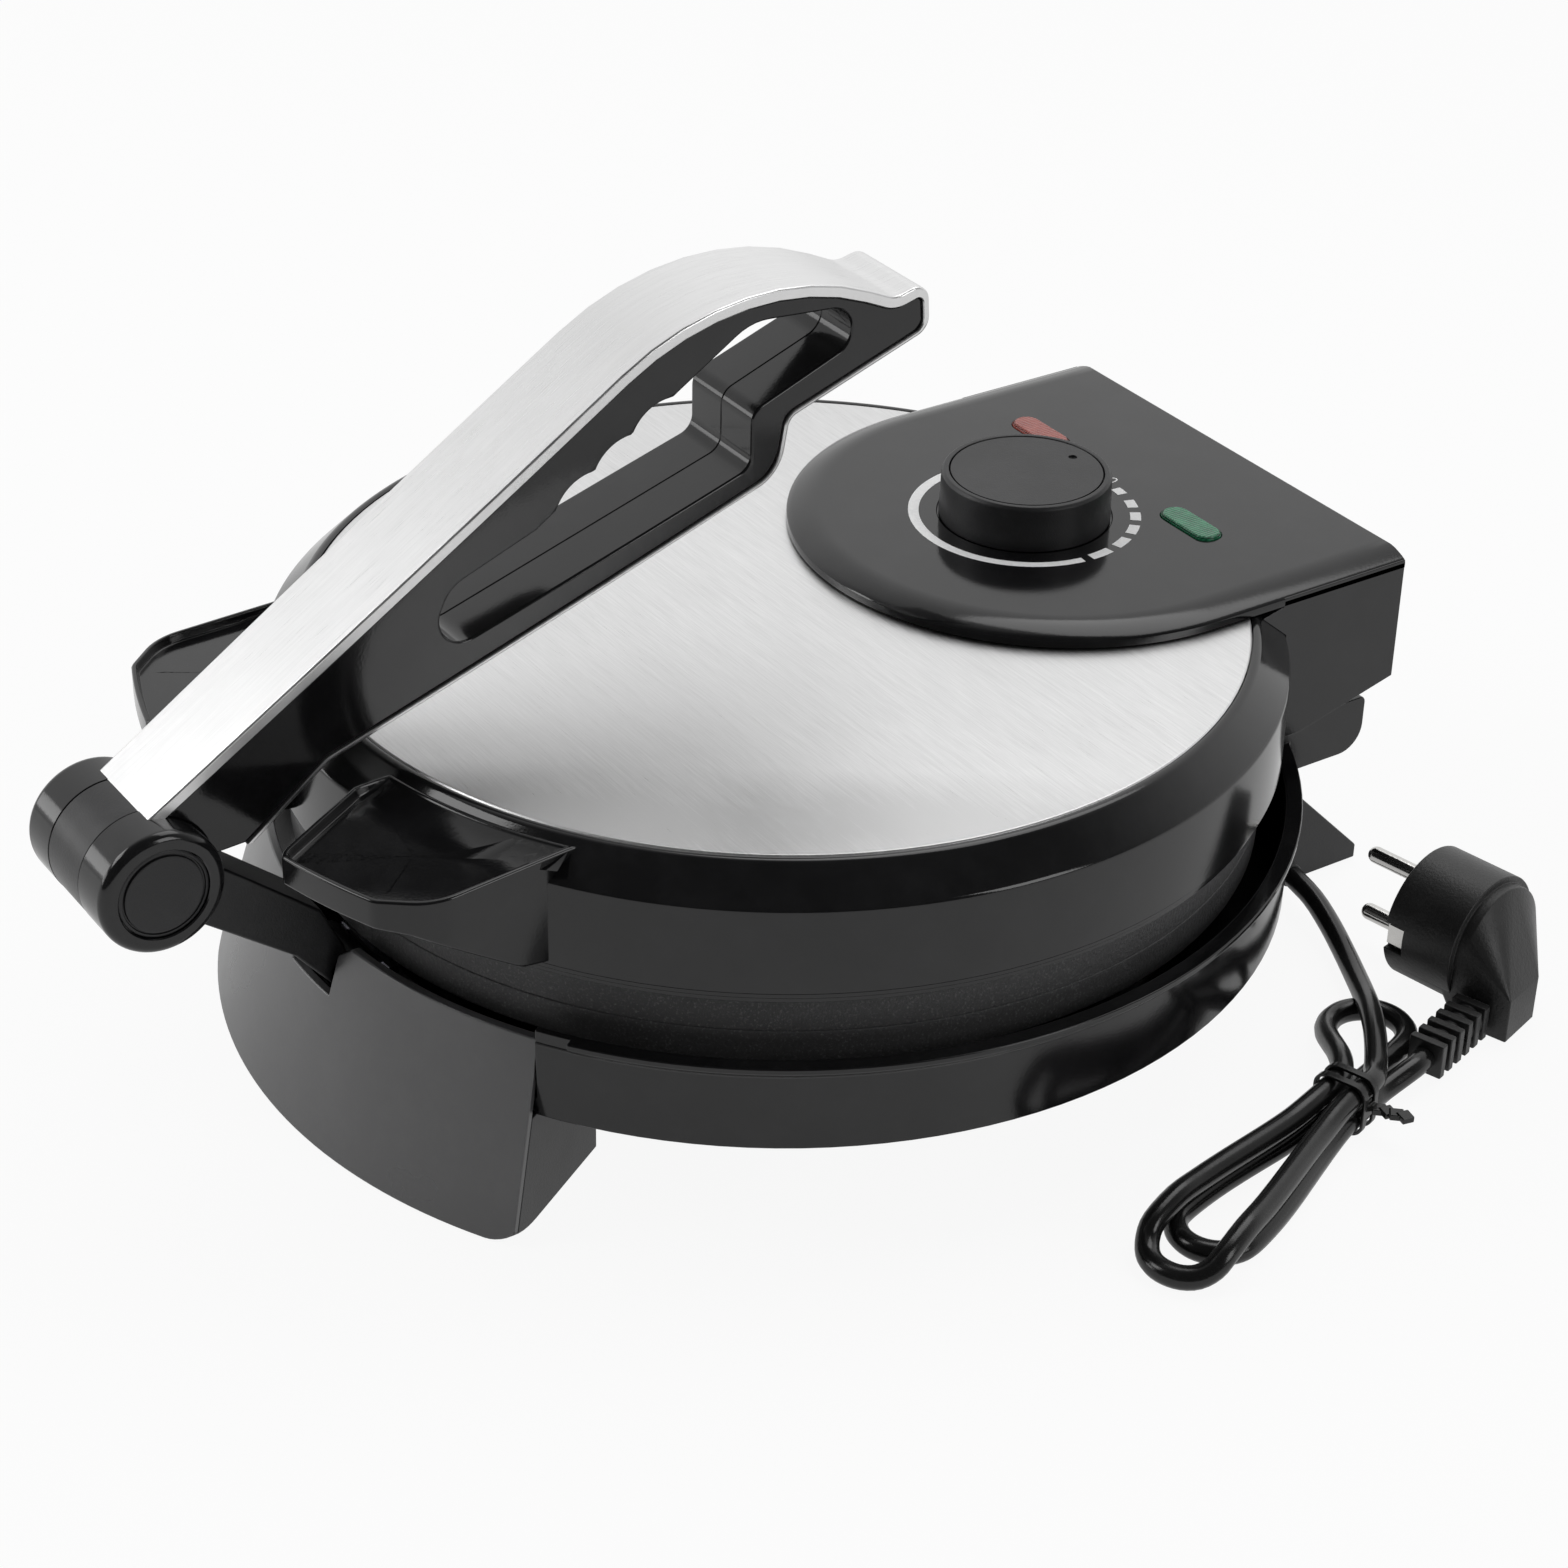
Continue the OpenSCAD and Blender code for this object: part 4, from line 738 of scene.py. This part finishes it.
def lift_tab(side):
    """A tab from its underside, up its outer wall, over the rim and down into its dish."""
    name = "lift_tab_right" if side > 0 else "lift_tab_left"
    made = Build()
    points = [(x, y, *r) if r else (x, y, 0) for x, y, *r in TAB_OUTLINE]
    line = []
    for p in finer(rounded(points), 1.6):
        r = p.length
        line.append(p * min(TAB_OUT_R, max(TAB_IN_R, r)) / r)
    line = [p for p, q in zip(line, line[1:] + line[:1]) if (p - q).length > 0.3]
    middle = sum(line, Vector((0, 0))) / len(line)

    def top(p):
        return TAB_Z - TAB_FALL * min(1, max(0, (p.length - 133) / 39))

    def low(p):
        return between(p.length, TAB_UNDER)

    def depth(p):
        return between(p.length, TAB_DEPTH)

    def row(d, height, share=None):
        ring = shifted(line, d)
        if share is not None:
            ring = [middle + (p - middle) * share for p in ring]
        return [Vector((side * p.x, p.y + PLATE_Y, height(p))) for p in ring]

    rows = [row(4, low, share) for share in (0.02, 0.25, 0.5, 0.75, 1)]
    rows += [row(0.7 - out, lambda p, b=back: low(p) + b) for out, back in fillet(0.7, 3)]
    rows += [row(back, lambda p, o=out: top(p) - 0.7 + o) for out, back in fillet(0.7, 4)]
    for d, share in DISH_WALL:
        rows.append(row(d, lambda p, s=share: top(p) - depth(p) * s))
    for share in (0.85, 0.7, 0.55, 0.4, 0.25, 0.1, 0.02):
        rows.append(row(DISH_WALL[-1][0], lambda p: top(p) - depth(p), share))
    first, last = made.skin(rows)
    made.fill(first)
    made.fill(last)
    return made.piece(name + "_tray", name, sharp=45)


PANEL_Z, CREASE_Z, PANEL_TOP = 109.3, 111.8, 114.3
PANEL_R, PANEL_C, PANEL_REAR, PANEL_WALL = 74, 91.5, 158, 3
KNOB_Y, RECESS_R, RECESS = 82.4, 24.4, 0.6
RED_AT, GREEN_AT, LENS_L, LENS_W = (-38.3, 117), (30.2, 117.5), 21.5, 8.7


def panel_line(d, rear=0.0):
    """The panel's D outline, d inside its edge."""
    r = PANEL_R - d
    back = PANEL_REAR - rear
    arc = [Vector((r * math.cos(a), PANEL_C + r * math.sin(a)))
           for a in (math.radians(180 + 3 * i) for i in range(61))]
    sides = [back - (back - PANEL_C) * i / 8 for i in range(8, 0, -1)]
    return arc + [Vector((r, y)) for y in sides[1:] + [back]] \
        + [Vector((r - 2 * r * i / 12, back)) for i in range(1, 12)] \
        + [Vector((-r, y)) for y in [back] + sides[:0:-1]]


def capsule_line(at, grow):
    """Outline of a lens's slot, grow wider all round than the lens."""
    r = LENS_W / 2 + grow
    reach = (LENS_L - LENS_W) / 2
    angles = [math.radians(7.5 + 15 * i) for i in range(24)]
    return [Vector((at[0] + math.copysign(reach, math.cos(a)) + r * math.cos(a),
                    at[1] + r * math.sin(a))) for a in angles]


def control_panel():
    """The panel's cover with its rolled edge, the knob's recess and the slots of the lenses."""
    made = Build()

    def row(line, z):
        return [Vector((p.x, p.y + PLATE_Y, z)) for p in line]

    # (distance inside the edge, height, less of that distance at the rear)
    slope = [(0.0, PANEL_Z + 0.2, 0), (0, CREASE_Z - 0.9, 0), (0.12, CREASE_Z - 0.35, 0),
             (0.6, CREASE_Z + 0.15, 0), (1.6, CREASE_Z + 0.68, 0), (3, CREASE_Z + 1.25, 0),
             (4.6, CREASE_Z + 1.8, 0), (6.2, CREASE_Z + 2.2, 0.1), (7.8, CREASE_Z + 2.43, 0.4),
             (9.6, PANEL_TOP, 0.8)]
    rows = [row(panel_line(PANEL_WALL, PANEL_WALL), CREASE_Z - 0.8),
            row(panel_line(PANEL_WALL, PANEL_WALL), PANEL_Z), row(panel_line(0.3), PANEL_Z)]
    rows += [row(panel_line(d, rear), z) for d, z, rear in slope]
    ceiling, top = made.skin(rows)
    recess = [Vector((RECESS_R * math.cos(a), KNOB_Y + RECESS_R * math.sin(a)))
              for a in (math.radians(4 * i) for i in range(90))]
    rim, floor = made.skin([row(shifted(recess, -0.25), PANEL_TOP), row(recess, PANEL_TOP - 0.2),
                            row(recess, PANEL_TOP - RECESS)])
    made.fill(floor)
    slots = [made.skin([row(capsule_line(at, 0.35), PANEL_TOP),
                        row(capsule_line(at, 0.1), PANEL_TOP - 0.3),
                        row(capsule_line(at, 0.1), CREASE_Z - 0.8)]) for at in (RED_AT, GREEN_AT)]
    made.fill(top, rim, *(slot[0] for slot in slots))
    made.fill(ceiling, *(slot[1] for slot in slots))
    return made.piece("control_panel_cover", "control_panel", sharp=30)


for side in (1, -1):
    handle_half(side)
    pivot_cap(side)
    lift_tab(side)
handle_band()
link_arm()
lid_ring()
control_panel()


# ---- cord ----------------------------------------------------------------------------------

# The route follows the CAD source's, with a smoother lead and narrower loops in front: (x, y, z)
# before PLATE_Y is added. LEAD_OUT and LEAD_IN are the lead's directions at the base and the hank.
CORD_D, CORD_PITCH = 6.4, 7.0
HALF_PITCH = CORD_PITCH / 2
HANK_AT, HANK_U, HANK_V = (153, 80.5), (0.315, -0.949), (0.949, 0.315)
HANK_Z, TIE_LIFT, LIFT_REACH = 3.2, 1.4, 24
HIGH_Z = HANK_Z + CORD_PITCH
SIDE_STEPS = 8
TOP_L, TOP_W, LOW_L, LOW_W = 86, 10.6, 73, 10.2
DROOP_L, BACK_U, BACK_R, HANK_END_U = 17, 37, 10.75, -8
LEAD_START, LEAD_OUT, LEAD_IN = Vector((62, 140)), Vector((105, -4)), Vector((26, -36))
LEAD_Z = [8, 7, 5.4, 4.4, 4.8, 6.6, 9, 10.2, 10.4, 10.4]
RELIEF_AT, RELIEF_Z = (148.6, 113), 6.5


def ease(t):
    return (1 - math.cos(math.pi * min(1, max(0, t)))) / 2


def on_table(u, v, z):
    lift = TIE_LIFT * (1 - ease(abs(u) / LIFT_REACH))
    return Vector((HANK_AT[0] + u * HANK_U[0] + v * HANK_V[0],
                   HANK_AT[1] + u * HANK_U[1] + v * HANK_V[1], z + lift))


def lobe(length, width, first_v, height):
    """One loop from the tie out to its fold and back; height gives z along u."""
    sign = math.copysign(1, first_v)

    def side(t, s):
        return t * (length - width), s * (HALF_PITCH + (width - HALF_PITCH) * ease(t))

    def fold(i):
        turn = math.radians(90 - 180 * i / SIDE_STEPS)
        return length - width + width * math.cos(turn), sign * width * math.sin(turn)

    flat = [side(i / SIDE_STEPS, sign) for i in range(0, SIDE_STEPS + 1)]
    flat += [fold(i) for i in range(1, SIDE_STEPS)]
    flat += [side(i / SIDE_STEPS, -sign) for i in range(SIDE_STEPS, 0, -1)]
    return [on_table(u, v, height(u)) for u, v in flat]


def lead(t, end):
    """The lead's (x, y) at share t of the way from the base's wall to the hank."""
    return ((2 * t ** 3 - 3 * t * t + 1) * LEAD_START + (t ** 3 - 2 * t * t + t) * LEAD_OUT
            + (3 * t * t - 2 * t ** 3) * end + (t ** 3 - t * t) * LEAD_IN)


def cord_route():
    """Lead, top loop in front, loop behind, low loop in front, and the end in the plug."""
    def droop(u):
        return HIGH_Z - CORD_PITCH * ease((u - TOP_L + DROOP_L) / DROOP_L)

    route = [on_table(HANK_END_U, HALF_PITCH, HIGH_Z)]
    route += lobe(TOP_L, TOP_W, 1, droop)
    for i in range(SIDE_STEPS + 1):
        t = i / SIDE_STEPS
        route.append(on_table(-t * BACK_U, -HALF_PITCH - 2 * BACK_R * ease(t),
                              HIGH_Z - CORD_PITCH * ease(t * 1.3 - 0.3)))
    for i in range(1, SIDE_STEPS):
        turn = math.pi * i / SIDE_STEPS
        route.append(on_table(-BACK_U - BACK_R * math.sin(turn),
                              -BACK_R - HALF_PITCH - BACK_R * math.cos(turn), HANK_Z))
    route += [on_table(-BACK_U * i / SIDE_STEPS, -HALF_PITCH, HANK_Z)
              for i in range(SIDE_STEPS, 0, -1)]
    route += lobe(LOW_L, LOW_W, -1, lambda u: HANK_Z)
    route += [on_table(0, HALF_PITCH, HANK_Z), on_table(HANK_END_U, HALF_PITCH, HANK_Z)]
    along = Vector((*HANK_U, 0))
    start = [Vector((*lead(i / len(LEAD_Z), route[0].xy), z)) for i, z in enumerate(LEAD_Z)]
    relief = Vector((*RELIEF_AT, RELIEF_Z))
    end = [route[-1] - CORD_D * along, relief + CORD_D * along, relief, relief - 1.5 * along]
    return [(p + Vector((0, PLATE_Y, 0))) * MM for p in start + route + end]


def smooth_through(points, steps):
    """Points of a smooth line through points, steps to each stretch."""
    ends = [2 * points[0] - points[1], *points, 2 * points[-1] - points[-2]]
    line = []
    for a, b, c, d in zip(ends, ends[1:], ends[2:], ends[3:]):
        for i in range(steps):
            t = i / steps
            line.append(((b * 2) + (c - a) * t + (a * 2 - b * 5 + c * 4 - d) * t * t
                         + (b * 3 - a - c * 3 + d) * t ** 3) / 2)
    return line + [points[-1].copy()]


def length_of(line):
    return sum((b - a).length for a, b in zip(line, line[1:]))


def tube_curve(name, line, radius, rings):
    data = bpy.data.curves.new(name, "CURVE")
    data.dimensions = "3D"
    data.bevel_depth, data.bevel_resolution = radius, rings
    data.use_fill_caps = True
    spline = data.splines.new("POLY")
    spline.points.add(len(line) - 1)
    for point, place in zip(spline.points, line):
        point.co = (*place, 1)
    spline.use_smooth = True
    return bpy.data.objects.new(name, data)


cord_line = smooth_through(cord_route(), 3)
cord = settle(tube_curve("mains_cord", cord_line, CORD_D / 2 * MM, 5),
              "cord_lead cord_hank plug_lead")


# ---- carried-over pieces with softened edges --------------------------------------------------

# width of the bevel in millimetres
SOFT_EDGES = {
    "base_shell": 0.4, "rear_housing": 0.2, "front_foot": 0.4, "rear_foot": 0.5, "front_apron": 0.5,
    "rubber_feet": 0.5, "steel_disc": 0.15, "knob": 0.3, "knob_cap": 0.15, "plug_body": 0.4,
    "plug_relief": 0.4, "cord_grip": 0.4, "cord_tie": 0.25, "lower_plate": 0.5, "upper_plate": 0,
    "bottom_cover": 0.3, "red_lens": 0.3, "green_lens": 0.3, "plug_pins": 0,
    "plug_earth_clips": 0.1,
}
skins = {node: dress(node, width) for node, width in SOFT_EDGES.items()}

length_of(cord_line)


# ---- dial print -------------------------------------------------------------------------------

PRINT_T = 0.06
ARC_R, ARC_SPAN, DASH_W = 32.5, (96, 266), 3.0
DASHES = [(3, 10), (17.5, 26), (31.5, 40.5), (46, 56), (61.5, 72.5), (78, 91)]
ZERO_AT, ZERO_IN, ZERO_OUT, ZERO_TALLER = (-3.2, KNOB_Y + 33.2), 1.0, 1.4, 0.6


def flat_strip(name, points_out, points_in, z):
    """A thin printed strip between two lines of (x, y) points."""
    work = bmesh.new()
    rows = [[work.verts.new((x * MM, (y + PLATE_Y) * MM, h * MM)) for x, y in line]
            for h in (z, z + PRINT_T) for line in (points_out, points_in)]
    low_out, low_in, top_out, top_in = rows
    last = len(points_out) - 1
    for i in range(last):
        work.faces.new((top_out[i], top_out[i + 1], top_in[i + 1], top_in[i]))
        work.faces.new((low_out[i], low_in[i], low_in[i + 1], low_out[i + 1]))
        work.faces.new((low_out[i], low_out[i + 1], top_out[i + 1], top_out[i]))
        work.faces.new((low_in[i], top_in[i], top_in[i + 1], low_in[i + 1]))
    for i in (0, last):
        work.faces.new((low_out[i], top_out[i], top_in[i], low_in[i]))
    bmesh.ops.recalc_face_normals(work, faces=work.faces)
    mesh = bpy.data.meshes.new(name)
    work.to_mesh(mesh)
    work.free()
    return bpy.data.objects.new(name, mesh)


def dial_arc(name, first, last, width):
    """An arc of the dial's ring, in degrees clockwise from the rear; width is a function."""
    count = max(2, round((last - first) / 2))
    angles = [math.radians(first + (last - first) * i / count) for i in range(count + 1)]
    lines = []
    for inner in (False, True):
        radii = [ARC_R - inner * width(i / count) for i in range(count + 1)]
        lines.append([(r * math.sin(a), KNOB_Y + r * math.cos(a)) for r, a in zip(radii, angles)])
    strip = flat_strip(name, *lines, PANEL_TOP)
    return settle(strip, [], "knob_black", DIAL_PAINT, "lid")


dial_arc("dial_arc", *ARC_SPAN, lambda t: 2.4 + 0.8 * t)
for index, (start, end) in enumerate(DASHES):
    dial_arc(f"dial_dash_{index}", start, end, lambda t: DASH_W)


def dial_zero():
    """A plain 0 where the dial starts."""
    made = Build()
    high = PANEL_TOP + PRINT_T

    def place(r, a, h):
        return Vector((ZERO_AT[0] + r * math.cos(a),
                       ZERO_AT[1] + PLATE_Y + (r + ZERO_TALLER) * math.sin(a), h))

    made.revolve([(ZERO_IN, PANEL_TOP), (ZERO_OUT, PANEL_TOP), (ZERO_OUT, high), (ZERO_IN, high)],
                 place, steps=32)
    zero = made.piece("dial_zero", [], "knob_black", body="lid")
    zero.data.materials[0] = DIAL_PAINT


dial_zero()


# ---- studio -----------------------------------------------------------------------------------

def white_where_seen(tree, lit, white_kind, share, rays, grey=1.0):
    """Mixes a share of white, or grey, into what the named rays see of a floor or a world."""
    path = tree.nodes.new("ShaderNodeLightPath")
    total = path.outputs[rays[0]]
    for ray in rays[1:]:
        larger = tree.nodes.new("ShaderNodeMath")
        larger.operation = "MAXIMUM"
        tree.links.new(total, larger.inputs[0])
        tree.links.new(path.outputs[ray], larger.inputs[1])
        total = larger.outputs[0]
    part = tree.nodes.new("ShaderNodeMath")
    part.operation = "MULTIPLY"
    part.inputs[1].default_value = share
    tree.links.new(total, part.inputs[0])
    white = tree.nodes.new(white_kind)
    white.inputs["Strength"].default_value = 1.0
    white.inputs["Color"].default_value = (grey, grey, grey, 1)
    mixed = tree.nodes.new("ShaderNodeMixShader")
    tree.links.new(part.outputs[0], mixed.inputs[0])
    tree.links.new(lit, mixed.inputs[1])
    tree.links.new(white.outputs[0], mixed.inputs[2])
    return mixed.outputs[0]


def make_studio():
    world = bpy.data.worlds.new("studio")
    scene.world = world
    world.use_nodes = True
    tree = world.node_tree
    lit = tree.nodes["Background"]
    # bright behind and over the object, dark on the side that the photo was taken from
    coords = tree.nodes.new("ShaderNodeTexCoord")
    toward = tree.nodes.new("ShaderNodeVectorMath")
    toward.operation = "DOT_PRODUCT"
    toward.inputs[1].default_value = (0.76, -0.52, 0.39)
    tree.links.new(coords.outputs["Generated"], toward.inputs[0])
    fade = tree.nodes.new("ShaderNodeMapRange")
    fade.interpolation_type = "SMOOTHSTEP"
    for socket, value in (("From Min", -0.4), ("From Max", 0.5), ("To Min", 1.0), ("To Max", 0.07)):
        fade.inputs[socket].default_value = value
    tree.links.new(toward.outputs["Value"], fade.inputs["Value"])
    tree.links.new(fade.outputs["Result"], lit.inputs["Strength"])
    lit.inputs["Color"].default_value = (0.96, 0.96, 0.96, 1)
    seen = white_where_seen(tree, lit.outputs[0], "ShaderNodeBackground", 1.0,
                            ["Is Camera Ray", "Is Transmission Ray"])
    tree.links.new(seen, tree.nodes["World Output"].inputs["Surface"])

    mesh = bpy.data.meshes.new("floor")
    size = 6
    mesh.from_pydata([(-size, -size, 0), (size, -size, 0), (size, size, 0), (-size, size, 0)],
                     [], [(0, 1, 2, 3)])
    floor = bpy.data.objects.new("floor", mesh)
    scene.collection.objects.link(floor)
    paper = bpy.data.materials.new("floor_paper")
    paper.use_nodes = True
    tree = paper.node_tree
    bsdf = tree.nodes["Principled BSDF"]
    bsdf.inputs["Base Color"].default_value = (0.86, 0.86, 0.86, 1)
    bsdf.inputs["Roughness"].default_value = 0.9
    bsdf.inputs["Specular IOR Level"].default_value = 0.0
    mirrored = white_where_seen(tree, bsdf.outputs[0], "ShaderNodeEmission", 0.6,
                                ["Is Glossy Ray"], 0.9)
    seen = white_where_seen(tree, mirrored, "ShaderNodeEmission", 0.92,
                            ["Is Camera Ray", "Is Transmission Ray"])
    tree.links.new(seen, tree.nodes["Material Output"].inputs["Surface"])
    mesh.materials.append(paper)

    lamps = [("key", (-0.7, -1.1, 1.1), (0.9, 0.6), 7), ("top", (-0.2, 0.7, 1.5), (1.2, 0.8), 6),
             ("side", (1.3, 0.5, 0.7), (0.5, 0.8), 4), ("low", (-0.9, -1.3, 0.35), (1.0, 0.4), 3)]
    for name, place, size, power in lamps:
        data = bpy.data.lights.new(name, "AREA")
        data.shape, data.size, data.size_y, data.energy = "RECTANGLE", *size, power
        lamp = bpy.data.objects.new(name, data)
        scene.collection.objects.link(lamp)
        lamp.location = place
        lamp.rotation_mode = "QUATERNION"
        aim = Vector((0, 0, 0.06)) - Vector(place)
        lamp.rotation_quaternion = aim.to_track_quat("-Z", "Y")


make_studio()
scene.view_settings.view_transform = "Standard"
